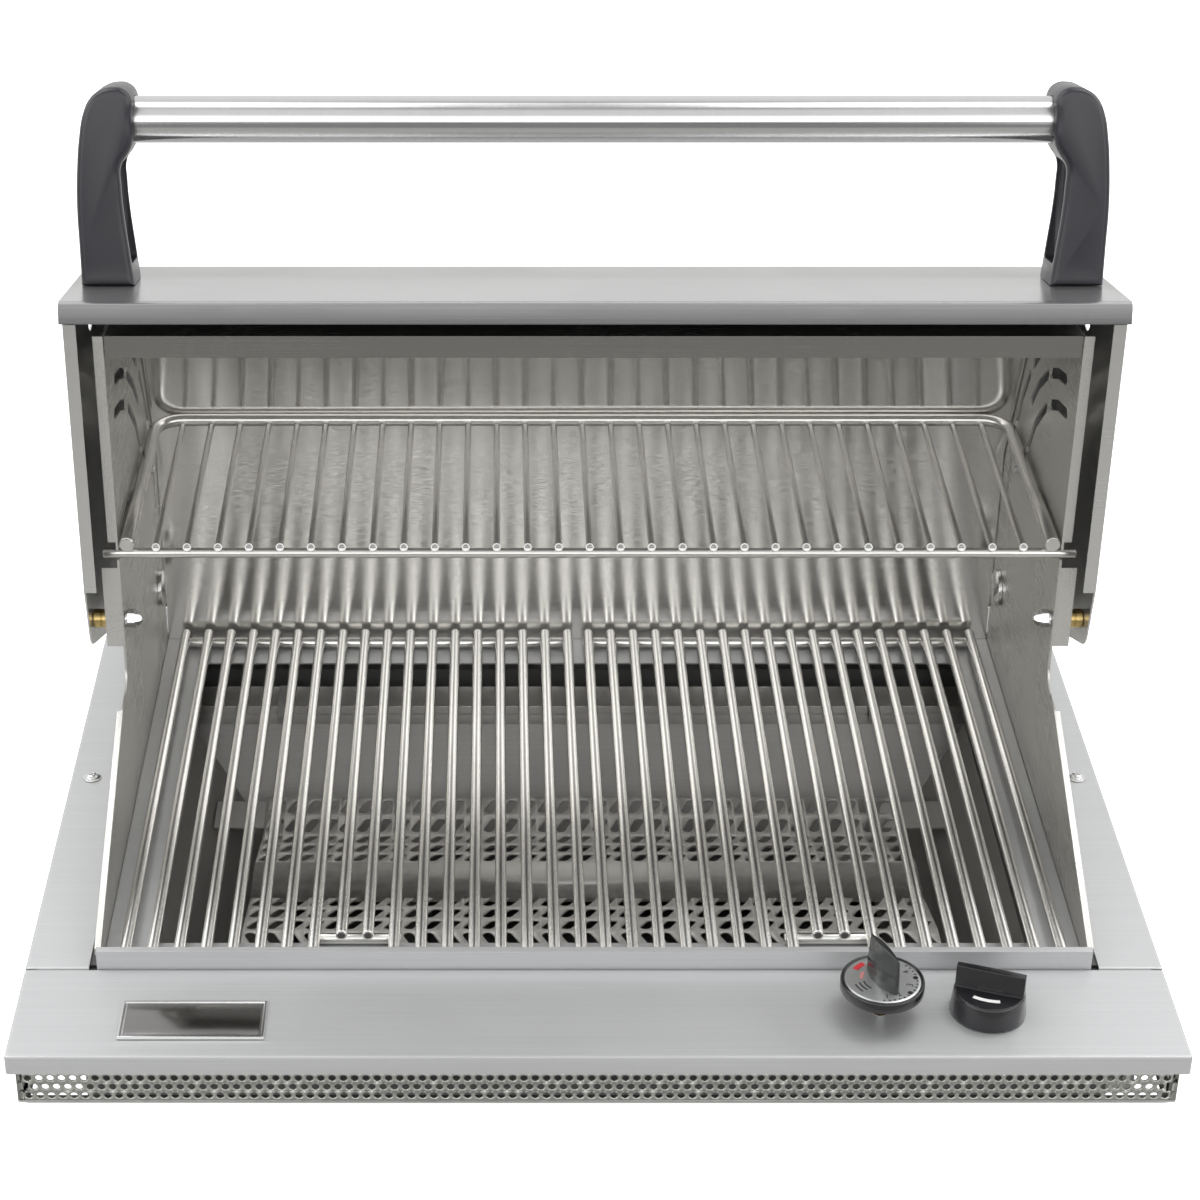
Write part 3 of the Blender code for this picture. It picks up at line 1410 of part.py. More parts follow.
def build_igniter_lead(liner, strap_top):
    """Electrode on the burner's strap and the lead that feeds it."""
    side = control_side + burner_tube / 2 + electrode_rod
    back = strap_front + strap_depth / 2
    base = spot(side, back, strap_top + gap)
    half = electrode_rod / 2
    body = [(0, electrode_height), (electrode_tip / 2, electrode_height),
            (electrode_tip / 2, electrode_height / 2),
            (half, electrode_height / 2), (half, 0), (0, 0)]
    turned("electrode", body, base, (0, 0, 1), "ceramic", 10)
    module_low = -sheet - gap - module_height - gap
    turn = liner_front + 6 * overrun
    end = spot(side + half + gap, back, strap_top + 2 * lead)
    corners = [spot(igniter_side, control_back, module_low), spot(igniter_side, control_back, lead_rise),
               spot(igniter_side, turn, lead_rise), end + Vector((4 * lead, 0, 0)), end]
    tubes("igniter_lead", [rounded_run(corners, 1.5 * lead, 2)], lead / 2, "red_lead", detail=1)
    lean = (liner_base_front - liner_front) / (liner_rise - liner_base_rise)
    wall = liner_front + (liner_rise - lead_rise) * lean
    hole = tool_round(spot(igniter_side, wall, lead_rise), lead / 2 + loose, 3 * overrun, (0, 1, 0), 8)
    combine(liner, hole)


def build_trim():
    """Name plate, deck screws and hood bumpers."""
    low = spot(plate_side - plate_length / 2, plate_back - plate_height / 2, gap)
    high = spot(plate_side + plate_length / 2, plate_back + plate_height / 2, gap + plate_thick)
    plate = block("name_plate", low, high, "polished_steel")
    rim = Vector((plate_rim, plate_rim, plate_thick - plate_recess))
    combine(plate, tool_block(low + rim, high + Vector((-plate_rim, -plate_rim, overrun))))
    for hand in (-1, 1):
        center = spot(hand * deck_screw_side, deck_screw_back, 0)
        head = [(0, deck_screw_crown), (deck_screw_head * 0.30, deck_screw_crown * 0.9),
                (deck_screw_head / 2, deck_screw_crown * 0.42), (deck_screw_washer / 2, deck_screw_rim),
                (deck_screw_washer / 2, gap), (deck_screw / 2, gap), (deck_screw / 2, -deck_screw_shank),
                (0, -deck_screw_shank)]
        turned(mirrored_name("deck_screw", hand), head, center, (0, 0, 1), "polished_steel", 10)
        rest = opened(hood_end_back, hood_end_rise)[1]
        height = rest - 2 * gap - loose
        center = spot(hand * bumper_side, bumper_back, gap)
        stop = [(0, height), (bumper_diameter * 0.42, height), (bumper_diameter / 2, height * 0.8),
                (bumper_diameter / 2, 0), (0, 0)]
        turned(mirrored_name("hood_bumper", hand), stop, center, (0, 0, 1), "black_rubber", 12)
    half = tray_width / 2
    floor = -firebox_drop + sheet + gap
    rings = [(half, tray_front, tray_rear, floor + tray_height), (half, tray_front, tray_rear, floor)]
    pan("drip_tray", rings, "oven_steel", cap="last", side=-1)


def build_all():
    """Build the whole grill."""
    build_deck()
    build_firebox()
    build_grate_frame()
    build_oven()
    build_hood()
    build_handle()
    for hand in (-1, 1):
        build_pivot(hand)
        build_grate(hand)
    build_rack()
    build_grid()
    liner = build_liner()
    build_ledges()
    strap_top = build_burner(liner)
    build_gas_train()
    build_knobs()
    build_igniter_lead(liner, strap_top)
    build_trim()


build_all()
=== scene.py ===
"""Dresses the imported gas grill: finishes, fine pieces, floor, light and camera."""

import math

import bmesh
import bpy
from bmesh.types import BMEdge, BMVert
from mathutils import Matrix, Vector


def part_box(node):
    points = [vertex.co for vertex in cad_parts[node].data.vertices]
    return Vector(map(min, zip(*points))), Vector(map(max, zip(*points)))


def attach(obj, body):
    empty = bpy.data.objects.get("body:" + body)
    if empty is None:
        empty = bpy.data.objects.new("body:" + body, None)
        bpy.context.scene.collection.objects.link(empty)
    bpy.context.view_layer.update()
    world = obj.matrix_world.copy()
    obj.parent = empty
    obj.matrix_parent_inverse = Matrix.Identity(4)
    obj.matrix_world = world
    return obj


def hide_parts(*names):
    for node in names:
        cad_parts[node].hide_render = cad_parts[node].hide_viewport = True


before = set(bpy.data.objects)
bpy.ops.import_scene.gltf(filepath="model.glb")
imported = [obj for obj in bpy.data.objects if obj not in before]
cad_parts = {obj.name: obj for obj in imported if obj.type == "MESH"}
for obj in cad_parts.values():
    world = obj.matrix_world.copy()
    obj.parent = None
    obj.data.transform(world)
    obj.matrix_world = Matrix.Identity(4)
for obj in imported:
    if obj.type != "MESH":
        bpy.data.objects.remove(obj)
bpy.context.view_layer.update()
scene = bpy.context.scene

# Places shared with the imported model
deck_front_edge = -0.2975
deck_rise = 0.175
crease_angle = math.radians(38.0)
sheet_wall = 0.0012
merge_reach = 0.00002


def z_at(rise):
    """Z of a place measured up from the deck."""
    return rise + deck_rise


def spot(side, back, rise):
    """Point from its side, its way back from the deck's front edge and its rise."""
    return Vector((side, back + deck_front_edge, z_at(rise)))


def add_object(name, data):
    """New object in the scene."""
    item = bpy.data.objects.new(name, data)
    scene.collection.objects.link(item)
    return item


# Camera, fitted to the photograph
camera_place = Vector((-0.062, -1.6335, 1.245))
camera_pitch = math.radians(29.4)
camera_lens = 83.8
camera_shift = 0.0867


def set_camera():
    """Camera with the lens and framing of the photograph."""
    lens = bpy.data.cameras.new("photo_camera")
    lens.lens = camera_lens
    lens.sensor_width = 36.0
    lens.shift_x = camera_shift
    lens.clip_end = 50.0
    holder = add_object("photo_camera", lens)
    holder.location = camera_place
    holder.rotation_euler = (math.radians(90.0) - camera_pitch, 0.0, 0.0)
    scene.camera = holder


# Shader helpers

def give(tree, node, inputs):
    """Give a node's inputs plain values, or join them to outputs."""
    for label, value in inputs.items():
        if isinstance(value, bpy.types.NodeSocket):
            tree.links.new(value, node.inputs[label])
        else:
            node.inputs[label].default_value = value


def new_node(tree, kind, inputs, **settings):
    """Node with its settings and inputs given."""
    node = tree.nodes.new(kind)
    for label, value in settings.items():
        setattr(node, label, value)
    give(tree, node, inputs)
    return node


def new_group(name, inputs, outputs):
    """Empty shader node group with named sockets and their plain values."""
    group = bpy.data.node_groups.new(name, "ShaderNodeTree")
    for way, sockets in (("INPUT", inputs), ("OUTPUT", outputs)):
        for label, value in sockets.items():
            kind = "NodeSocketVector" if isinstance(value, tuple) else "NodeSocketFloat"
            group.interface.new_socket(name=label, in_out=way, socket_type=kind).default_value = value
    return group, group.nodes.new("NodeGroupInput").outputs, group.nodes.new("NodeGroupOutput")


def maths(tree, operation, first, second, clamp=False):
    """Math node fed by sockets or plain numbers."""
    node = new_node(tree, "ShaderNodeMath", {0: first, 1: second}, operation=operation, use_clamp=clamp)
    return node.outputs[0]


def times(tree, first, second):
    """Product of two values."""
    return maths(tree, "MULTIPLY", first, second)


def vector_maths(tree, operation, first, second):
    """Vector math node fed by sockets or plain directions."""
    return new_node(tree, "ShaderNodeVectorMath", {0: first, 1: second}, operation=operation).outputs


def axis_part(tree, vector, axis):
    """One part of a vector socket."""
    return new_node(tree, "ShaderNodeSeparateXYZ", {0: vector}).outputs[axis]


def noise(tree, vector, scale, detail, roughness):
    """Noise value from a vector socket."""
    return new_node(tree, "ShaderNodeTexNoise", {
        "Vector": vector, "Scale": scale, "Detail": detail, "Roughness": roughness}).outputs["Fac"]


def ramp(tree, value, low, high, start=0.0, end=1.0):
    """Value mapped from one range to another and held inside it."""
    return new_node(tree, "ShaderNodeMapRange", {
        "Value": value, "From Min": low, "From Max": high, "To Min": start, "To Max": end}).outputs["Result"]


def tint(tree, factor, *colours):
    """Colour mixed between two colours, each a socket or a plain colour."""
    first, second = [(*colour, 1.0) if isinstance(colour, tuple) else colour for colour in colours]
    node = new_node(tree, "ShaderNodeMix", {"Factor": factor, 6: first, 7: second}, data_type="RGBA")
    return node.outputs[2]


def brushed_grain_group():
    """Fine drawn lines of a belt finish, with broad bands between them."""
    tree, given, put = new_group("brushed_grain", {"Vector": (0, 0, 0), "Stretch": (1, 1, 1)},
                                 {"Line": 0.0, "Band": 0.0})
    scaled = vector_maths(tree, "MULTIPLY", given["Vector"], given["Stretch"])[0]
    line = noise(tree, scaled, 1.0, 4.0, 0.7)
    band = noise(tree, scaled, 0.06, 2.0, 0.5)
    give(tree, put, {"Line": ramp(tree, line, 0.25, 0.75), "Band": ramp(tree, band, 0.3, 0.7)})
    return tree


def handling_group():
    """Soft smears of polish and handling, and specks of dust."""
    tree, given, put = new_group("handling", {"Vector": (0, 0, 0), "Size": 9.0}, {"Smear": 0.0, "Dust": 0.0})
    broad = new_node(tree, "ShaderNodeTexNoise", {
        "Vector": given["Vector"], "Scale": given["Size"], "Detail": 5.0, "Distortion": 0.8}).outputs["Fac"]
    fine = noise(tree, given["Vector"], 620.0, 2.0, 0.5)
    give(tree, put, {"Smear": ramp(tree, broad, 0.35, 0.68), "Dust": ramp(tree, fine, 0.66, 0.74)})
    return tree


def edge_wear_and_highlight_group():
    """Mask of the worn edges of sheet and castings, lightened both as wear and as a painted edge highlight.
    """
    tree, given, put = new_group("edge_wear_and_highlight", {"Vector": (0, 0, 0), "Width": 0.0008},
                                 {"Edge": 0.0, "Rounded": (0, 0, 0)})
    rounded = new_node(tree, "ShaderNodeBevel", {"Radius": given["Width"]}, samples=4).outputs["Normal"]
    flat = tree.nodes.new("ShaderNodeNewGeometry").outputs["True Normal"]
    turn = vector_maths(tree, "DOT_PRODUCT", rounded, flat)["Value"]
    patchy = ramp(tree, noise(tree, given["Vector"], 160.0, 3.0, 0.6), 0.25, 0.6)
    wear_and_highlight = maths(tree, "MULTIPLY", ramp(tree, turn, 0.995, 0.8), patchy, clamp=True)
    give(tree, put, {"Edge": wear_and_highlight, "Rounded": rounded})
    return tree


grain_group = brushed_grain_group()
care_group = handling_group()
wear_and_highlight_group = edge_wear_and_highlight_group()

dust_colour = (0.36, 0.34, 0.31)
# Shares of colour left in the painted shade of the hood lip and in the painted dark line along the rods' tops
lip_shade_share = 0.34
crown_shade_share = 0.36
grain_lines = {
    "across": (6.0, 1500.0, 1500.0),
    "back": (1500.0, 6.0, 1500.0),
    "ring_back": (60.0, 1800.0, 60.0),
    "ring_across": (1800.0, 60.0, 60.0),
}
grain_drag = {"across": (1, 0, 0), "back": (0, 1, 0), "ring_back": (0, 1, 0), "ring_across": (1, 0, 0)}


def start_finish(name):
    """Material with its node tree, its shader and its object coordinates."""
    made = bpy.data.materials.new(name)
    made.use_nodes = True
    tree = made.node_tree
    return made, tree, tree.nodes["Principled BSDF"], tree.nodes.new("ShaderNodeTexCoord").outputs["Object"]


def use_group(tree, group, place, **values):
    """Outputs of a shared effect placed in a material."""
    return new_node(tree, "ShaderNodeGroup", {"Vector": place, **values}, node_tree=group).outputs


def bump(tree, height, strength, distance, normal):
    """Normal with a small relief."""
    return new_node(tree, "ShaderNodeBump", {
        "Strength": strength, "Distance": distance, "Height": height, "Normal": normal}).outputs["Normal"]


def shaded(colour, share):
    """Colour made darker by one factor."""
    return tuple(part * share for part in colour)


def brushed_metal(name, colour, roughness, grain="across", drag=0.9, streak=0.1, relief=0.1, waves=0.0,
                  haze=0.18, lip=None, crown_shade=None):
    """Brushed sheet or rod with drawn lines, smears, and bright edges that are partly wear and partly a
    painted edge highlight.

    Waves swell the sheet, the lip setting paints shade on it past a place along Y, and the crown setting
    paints a dark reflection line along a rod's top.
    """
    made, tree, shader, place = start_finish(name)
    lines = use_group(tree, grain_group, place, Stretch=grain_lines[grain])
    care = use_group(tree, care_group, place, Size=7.0)
    wear_and_highlight = use_group(tree, wear_and_highlight_group, place, Width=0.0005)
    bright_line = tuple(min(part * (1.0 + streak * 0.5), 1.0) for part in colour)
    worn_and_highlit_edge = tuple(min(part * 1.25, 0.95) for part in colour)
    base = tint(tree, lines["Line"], shaded(colour, 1.0 - streak), bright_line)
    base = tint(tree, times(tree, lines["Band"], 0.35), base, shaded(colour, 0.93))
    # Edges lightened, partly as wear and partly as a painted edge highlight
    base = tint(tree, times(tree, wear_and_highlight["Edge"], 0.7), base, worn_and_highlit_edge)
    base = tint(tree, times(tree, care["Dust"], 0.04), base, dust_colour)
    # Painted shade: the hood's front lip is darkened past a place along Y
    if lip:
        base = tint(tree, ramp(tree, axis_part(tree, place, "Y"), *lip), base, shaded(colour, lip_shade_share))
    # Painted reflection: a darker line along the top of each rod
    if crown_shade:
        facing = axis_part(tree, tree.nodes.new("ShaderNodeTexCoord").outputs["Normal"], "Z")
        base = tint(tree, ramp(tree, facing, *crown_shade), base, shaded(colour, crown_shade_share))
    uneven = maths(tree, "ADD", times(tree, care["Smear"], 0.06), times(tree, lines["Line"], 0.06))
    normal = tree.nodes.new("ShaderNodeNewGeometry").outputs["Normal"]
    heading = grain_drag[grain]
    if grain.startswith("ring"):
        heading = vector_maths(tree, "CROSS_PRODUCT", heading, normal)[0]
    height = lines["Line"]
    if waves:
        height = maths(tree, "ADD", height, times(tree, noise(tree, place, 7.0, 1.0, 0.4), waves))
    give(tree, shader, {
        "Base Color": base, "Metallic": 1.0 - haze, "Anisotropic": drag,
        "Roughness": maths(tree, "ADD", uneven, roughness - 0.05, clamp=True),
        "Tangent": vector_maths(tree, "CROSS_PRODUCT", normal, heading)[0],
        "Normal": bump(tree, height, relief, 0.0002, wear_and_highlight["Rounded"])})
    return made


def satin_finish(name, colour, roughness, pebble=0.12, coat=0.0):
    """Moulded, coated or printed finish with a fine pebble, and rubbed edges lightened both as wear and as a
    painted edge highlight.
    """
    made, tree, shader, place = start_finish(name)
    smear = use_group(tree, care_group, place, Size=22.0)["Smear"]
    wear_and_highlight = use_group(tree, wear_and_highlight_group, place, Width=0.001)
    handled = tuple(part * 1.5 + 0.004 for part in colour)
    base = tint(tree, times(tree, smear, 0.5), colour, handled)
    # Edges lightened as wear and as a painted edge highlight
    give(tree, shader, {
        "Base Color": tint(tree, times(tree, wear_and_highlight["Edge"], 0.25), base, (0.1, 0.1, 0.11)),
        "Roughness": maths(tree, "ADD", times(tree, smear, 0.1), roughness - 0.05),
        "Coat Weight": coat, "Coat Roughness": 0.15,
        "Normal": bump(tree, noise(tree, place, 900.0, 2.0, 0.5), pebble, 0.0003, wear_and_highlight["Rounded"])})
    return made


# Colour, roughness and the rest of each finish
metal_looks = {
    "deck_steel": ((0.63, 0.635, 0.64), 0.42, dict(drag=0.6, haze=0.38)),
    # hood_steel paints shade on the front lip of the hood
    "hood_steel": ((0.60, 0.60, 0.60), 0.22, dict(drag=0.7, streak=0.08, relief=0.1, haze=0.10,
                                              lip=(-0.0215, -0.0235))),
    "side_steel": ((0.74, 0.735, 0.72), 0.24, dict(drag=0.6, streak=0.08, haze=0.10)),
    "plate_steel": ((0.64, 0.63, 0.60), 0.28, dict(grain="back", waves=0.8, relief=0.4, haze=0.22)),
    "oven_steel": ((0.92, 0.91, 0.88), 0.09, dict(drag=0.97, waves=1.4, relief=0.1, haze=0.08)),
    "edge_steel": ((0.33, 0.325, 0.31), 0.24, dict(drag=0.6, haze=0.05)),
    # Painted shade: dark steel for hidden inner parts, gap fillers and rod end discs, where only shade falls
    "dark_steel": ((0.13, 0.13, 0.128), 0.50, dict(drag=0.3, haze=0.4)),
    "liner_steel": ((0.44, 0.435, 0.42), 0.42, dict(streak=0.16, haze=0.3)),
    # rod_steel paints a dark reflection line along the top of its rods
    "rod_steel": ((0.93, 0.92, 0.89), 0.17, dict(grain="ring_back", drag=0.98, streak=0.08, relief=0.02,
                                                 haze=0.03, crown_shade=(0.955, 0.992))),
    "ground_ends": ((0.95, 0.95, 0.94), 0.34, dict(drag=0.0, streak=0.03, relief=0.02, haze=0.3)),
    "tube_steel": ((0.66, 0.66, 0.66), 0.19, dict(grain="ring_across", streak=0.03, relief=0.01, haze=0.08)),
    "skirt_steel": ((0.50, 0.50, 0.47), 0.34, dict(drag=0.6)),
    "grid_steel": ((0.68, 0.67, 0.64), 0.46, dict(drag=0.3, streak=0.12, haze=0.35)),
    "rack_steel": ((0.72, 0.71, 0.68), 0.18, dict(grain="ring_back", drag=0.6, streak=0.06)),
    "dark_mirror": ((0.26, 0.255, 0.25), 0.14, dict(drag=0.0, streak=0.05, relief=0.03, haze=0.0)),
    "polished_steel": ((0.74, 0.74, 0.74), 0.16, dict(drag=0.0, streak=0.04, relief=0.03, haze=0.0)),
    "dial_silver": ((0.66, 0.67, 0.67), 0.30, dict(drag=0.4, streak=0.20, relief=0.06)),
    "brass": ((0.62, 0.46, 0.19), 0.28, dict(drag=0.0, haze=0.0)),
    "cast_iron": ((0.12, 0.12, 0.12), 0.60, dict(drag=0.0, relief=0.4)),
}
moulded_looks = {
    "black_casting": ((0.018, 0.018, 0.024), 0.34, dict(coat=0.25)),
    "black_plastic": ((0.008, 0.008, 0.010), 0.24, dict(pebble=0.05, coat=0.4)),
    "smoky_plastic": ((0.028, 0.030, 0.030), 0.20, dict(pebble=0.03, coat=0.1)),
    "black_rubber": ((0.015, 0.015, 0.015), 0.75, dict()),
    "ceramic": ((0.70, 0.68, 0.62), 0.35, dict(pebble=0.05)),
    "red_lead": ((0.35, 0.03, 0.02), 0.45, dict(pebble=0.05)),
    "black_print": ((0.012, 0.012, 0.014), 0.45, dict(pebble=0.03)),
    "red_print": ((0.55, 0.03, 0.04), 0.40, dict(pebble=0.03)),
    "rose_print": ((0.62, 0.26, 0.25), 0.40, dict(pebble=0.03)),
    "white_print": ((0.84, 0.84, 0.82), 0.38, dict(pebble=0.03)),
}
finishes = {}
for make_finish, looks in ((brushed_metal, metal_looks), (satin_finish, moulded_looks)):
    for look_name, (look_colour, look_roughness, look_more) in looks.items():
        finishes[look_name] = make_finish(look_name, look_colour, look_roughness, **look_more)

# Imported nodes, or their names without a hand, under the finish that they get
finish_nodes = {
    "deck_steel": "deck_frame control_panel vent_skirt grate_frame liner_hanger",
    # Hidden inner parts get the dark steel as painted shade
    "dark_steel": "firebox_shell control_box drip_tray",
    "plate_steel": "side_plate",
    "oven_steel": "oven_back rear_ledge",
    "edge_steel": "oven_top",
    "hood_steel": "hood_skin",
    "side_steel": "hood_side",
    "tube_steel": "handle_tube",
    "black_casting": "handle_bracket",
    "polished_steel": "bracket_screw pivot_bolt pivot_nut pivot_washer rack_pin valve_stem dial_plate "
                      "spit_cap name_plate deck_screw",
    "brass": "pivot_bushing gas_valve",
    "rod_steel": "grate_left grate_right warming_rack",
    "liner_steel": "flavor_grid firebox_liner grid_rail burner_strap gas_inlet",
    "cast_iron": "burner",
    "black_plastic": "control_knob igniter_knob igniter_module",
    "red_lead": "igniter_lead",
    "ceramic": "electrode",
    "black_rubber": "hood_bumper",
}
node_finish = {node: finish for finish, nodes in finish_nodes.items() for node in nodes.split()}


def softening_group():
    """Geometry group that shades a node's bends smooth and keeps its creases."""
    tree = bpy.data.node_groups.new("soft_bends", "GeometryNodeTree")
    for way in ("INPUT", "OUTPUT"):
        tree.interface.new_socket(name="Geometry", in_out=way, socket_type="NodeSocketGeometry")
    given = tree.nodes.new("NodeGroupInput").outputs[0]
    angle = tree.nodes.new("GeometryNodeInputMeshEdgeAngle").outputs["Unsigned Angle"]
    test = new_node(tree, "FunctionNodeCompare", {"A": angle, "B": crease_angle}, data_type="FLOAT",
                    operation="GREATER_THAN").outputs[0]
    faces = new_node(tree, "GeometryNodeSetShadeSmooth", {"Geometry": given}, domain="FACE").outputs[0]
    edges = new_node(tree, "GeometryNodeSetShadeSmooth",
                     {"Geometry": faces, "Selection": test, "Shade Smooth": False}, domain="EDGE").outputs[0]
    give(tree, tree.nodes.new("NodeGroupOutput"), {0: edges})
    return tree


soft_bends = softening_group()


def finish_of(node):
    """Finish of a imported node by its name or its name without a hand."""
    for key in (node, node.rsplit("_", 1)[0]):
        if key in node_finish:
            return finishes[node_finish[key]]
    raise KeyError(node)


def dress_node(name, item):
    """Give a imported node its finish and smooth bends."""
    item.data.materials.clear()
    item.data.materials.append(finish_of(name))
    joined = item.modifiers.new("joined", "WELD")
    joined.merge_threshold = 0.00001
    bends = item.modifiers.new("soft_bends", "NODES")
    bends.node_group = soft_bends
    flats = item.modifiers.new("true_flats", "WEIGHTED_NORMAL")
    flats.keep_sharp = True


# Shape helpers

def shade(shape, angle=crease_angle):
    """Smooth faces with creases where they meet at more than the angle."""
    for face in shape.faces:
        face.smooth = True
    for edge in shape.edges:
        edge.smooth = len(edge.link_faces) != 2 or edge.calc_face_angle() < angle


def as_mesh(name, shape):
    """Mesh of a shape, which is dropped."""
    data = bpy.data.meshes.new(name)
    shape.to_mesh(data)
    shape.free()
    return data


def as_object(name, shape):
    """Object of a shape."""
    return add_object(name, as_mesh(name, shape))


def put_piece(name, shape, finish, body, nodes=(), angle=crease_angle):
    """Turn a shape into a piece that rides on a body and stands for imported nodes."""
    shade(shape, angle)
    item = as_object(name, shape)
    item.data.materials.append(finishes[finish])
    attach(item, body)
    if nodes:
        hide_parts(*nodes)
    return item


def only(kind, parts):
    """Parts of one kind among those that an operator gave."""
    return [part for part in parts if isinstance(part, kind)]


def place_verts(shape, verts, matrix):
    """Turn and move some vertices."""
    bmesh.ops.transform(shape, matrix=matrix, verts=verts)


def handed(name, hand):
    """Name with its hand."""
    return name + ("_right" if hand > 0 else "_left")


def turned_to(axis):
    """Matrix that turns the local Z axis to a direction."""
    return Vector((0, 0, 1)).rotation_difference(axis).to_matrix().to_4x4()


def along(start, end):
    """Matrix that lays the local Z axis from one point towards another, centred between them."""
    travel = Vector(end) - Vector(start)
    return Matrix.Translation((Vector(start) + Vector(end)) / 2) @ turned_to(travel.normalized())


def round_edges(shape, edges, width, steps, clamp=False):
    """Round some edges of a shape."""
    return bmesh.ops.bevel(shape, geom=edges, offset=width, segments=steps, affect="EDGES", profile=0.5,
                           material=-1, clamp_overlap=clamp)


def add_disc(shape, radius, depth, sides, matrix=Matrix()):
    """Round disc or bar with flat ends."""
    verts = bmesh.ops.create_cone(shape, cap_ends=True, segments=sides, radius1=radius, radius2=radius,
                                  depth=depth)["verts"]
    place_verts(shape, verts, matrix)
    return verts


def add_block(shape, size, center):
    """Block of one size round a centre."""
    verts = bmesh.ops.create_cube(shape, size=1.0)["verts"]
    bmesh.ops.scale(shape, vec=size, verts=verts)
    bmesh.ops.translate(shape, verts=verts, vec=center)


def rod_between(shape, start, end, radius, sides, ease):
    """Round rod between two points with its end rims eased."""
    length = (Vector(end) - Vector(start)).length
    verts = add_disc(shape, radius, length, sides)
    rims = {edge for vert in verts for edge in vert.link_edges
            if abs(edge.verts[0].co.z - edge.verts[1].co.z) < length / 2}
    made = round_edges(shape, list(rims), ease, 2)
    verts = list({vert for vert in verts if vert.is_valid} | set(made["verts"]))
    place_verts(shape, verts, along(start, end))


def bent_rod(shape, start, heading, radius, moves, sides=16):
    """Round rod that runs straight and turns as its moves say."""
    made = bmesh.ops.create_circle(shape, cap_ends=True, radius=radius, segments=sides)["verts"]
    place_verts(shape, made, Matrix.Translation(start) @ along((0, 0, 0), Vector(heading)).to_3x3().to_4x4())
    face = next(iter({face for vert in made for face in vert.link_faces}))
    edges = list(face.edges)
    for kind, first, second in moves:
        if kind == "straight":
            grown = bmesh.ops.extrude_edge_only(shape, edges=edges)["geom"]
            ring = only(BMVert, grown)
            bmesh.ops.translate(shape, verts=ring, vec=first)
            edges = [edge for edge in only(BMEdge, grown) if edge.verts[0] in ring and edge.verts[1] in ring]
        else:
            ring = list({vert for edge in edges for vert in edge.verts})
            last = bmesh.ops.spin(shape, geom=edges + ring, cent=first, axis=(0, 0, 1), angle=second, steps=8)
            edges = only(BMEdge, last["geom_last"])
    bmesh.ops.contextual_create(shape, geom=edges)
    bmesh.ops.recalc_face_normals(shape, faces=shape.faces)


def spun(shape, profile, center, axis, steps):
    """Turned shape from (radius, height) points round an axis."""
    verts = [shape.verts.new((radius, 0.0, height)) for radius, height in profile]
    edges = [shape.edges.new(pair) for pair in zip(verts, verts[1:])]
    bmesh.ops.spin(shape, geom=verts + edges, cent=(0, 0, 0), axis=(0, 0, 1), angle=math.tau, steps=steps,
                   use_merge=True)
    bmesh.ops.remove_doubles(shape, verts=shape.verts, dist=0.000005)
    bmesh.ops.recalc_face_normals(shape, faces=shape.faces)
    place_verts(shape, list(shape.verts), Matrix.Translation(center) @ turned_to(Vector(axis)))


def holed_cell(radius, stretch, lean, half_width, half_height, sides=16):
    """Sheet round one hole: a round one, or a slot drawn out along Y and leaning along X."""
    shape = bmesh.new()
    inner = bmesh.ops.create_circle(shape, cap_ends=False, radius=radius, segments=sides)["verts"]
    grown = bmesh.ops.extrude_edge_only(shape, edges=shape.edges[:])["geom"]
    for vert in only(BMVert, grown):
        vert.co /= max(abs(vert.co.x), abs(vert.co.y))
        vert.co.x *= half_width
        vert.co.y *= half_height
    if stretch:
        axis = Vector((lean, stretch, 0.0))
        turns = {vert: Vector((axis.x, axis.y)).angle_signed(vert.co.xy) for vert in inner}
        for half in (1.0, -1.0):
            ends = [vert for vert in inner if (math.cos(turns[vert]) > 0) == (half > 0)]
            base = 0.0 if half > 0 else math.pi
            ends.sort(key=lambda vert: math.remainder(-turns[vert] - base, math.tau))
            for step, vert in enumerate(ends):
                angle = math.atan2(stretch, lean) + base + math.pi * (step / (len(ends) - 1) - 0.5)
                vert.co = Vector((math.cos(angle), math.sin(angle), 0.0)) * radius + axis * half
    return as_mesh("cell", shape)


def lay_cells(shape, cell, places):
    """Copies of one cell of sheet at their places."""
    last = Vector()
    for place in places:
        cell.transform(Matrix.Translation(place - last))
        last = place
        shape.from_mesh(cell)
    bpy.data.meshes.remove(cell)


def plain_cell(shape, low_x, high_x, low_y, high_y):
    """Flat rectangle of sheet."""
    corners = [(low_x, low_y), (high_x, low_y), (high_x, high_y), (low_x, high_y)]
    verts = [shape.verts.new((across, up, 0.0)) for across, up in corners]
    shape.faces.new(verts)
    return verts


def join_shape(shape, added, matrix):
    """Turn one shape, put it in another and drop it."""
    place_verts(added, added.verts[:], matrix)
    sheet = as_mesh("sheet", added)
    shape.from_mesh(sheet)
    bpy.data.meshes.remove(sheet)


def add_wall(item, depth, offset):
    """Give a sheet its thickness."""
    wall = item.modifiers.new("thickness", "SOLIDIFY")
    wall.thickness = depth
    wall.offset = offset
    wall.use_even_offset = True


def joined_copy(name):
    """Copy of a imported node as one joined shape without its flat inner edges."""
    shape = bmesh.new()
    shape.from_mesh(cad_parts[name].data)
    bmesh.ops.remove_doubles(shape, verts=shape.verts, dist=0.00001)
    bmesh.ops.dissolve_limit(shape, angle_limit=math.radians(1.0), verts=shape.verts, edges=shape.edges)
    return shape


def ease_edges(shape, width, steps, angle):
    """Round the edges of a shape that are sharper than an angle."""
    sharp = [edge for edge in shape.edges if len(edge.link_faces) == 2 and edge.calc_face_angle() > angle]
    round_edges(shape, sharp, width, steps, True)


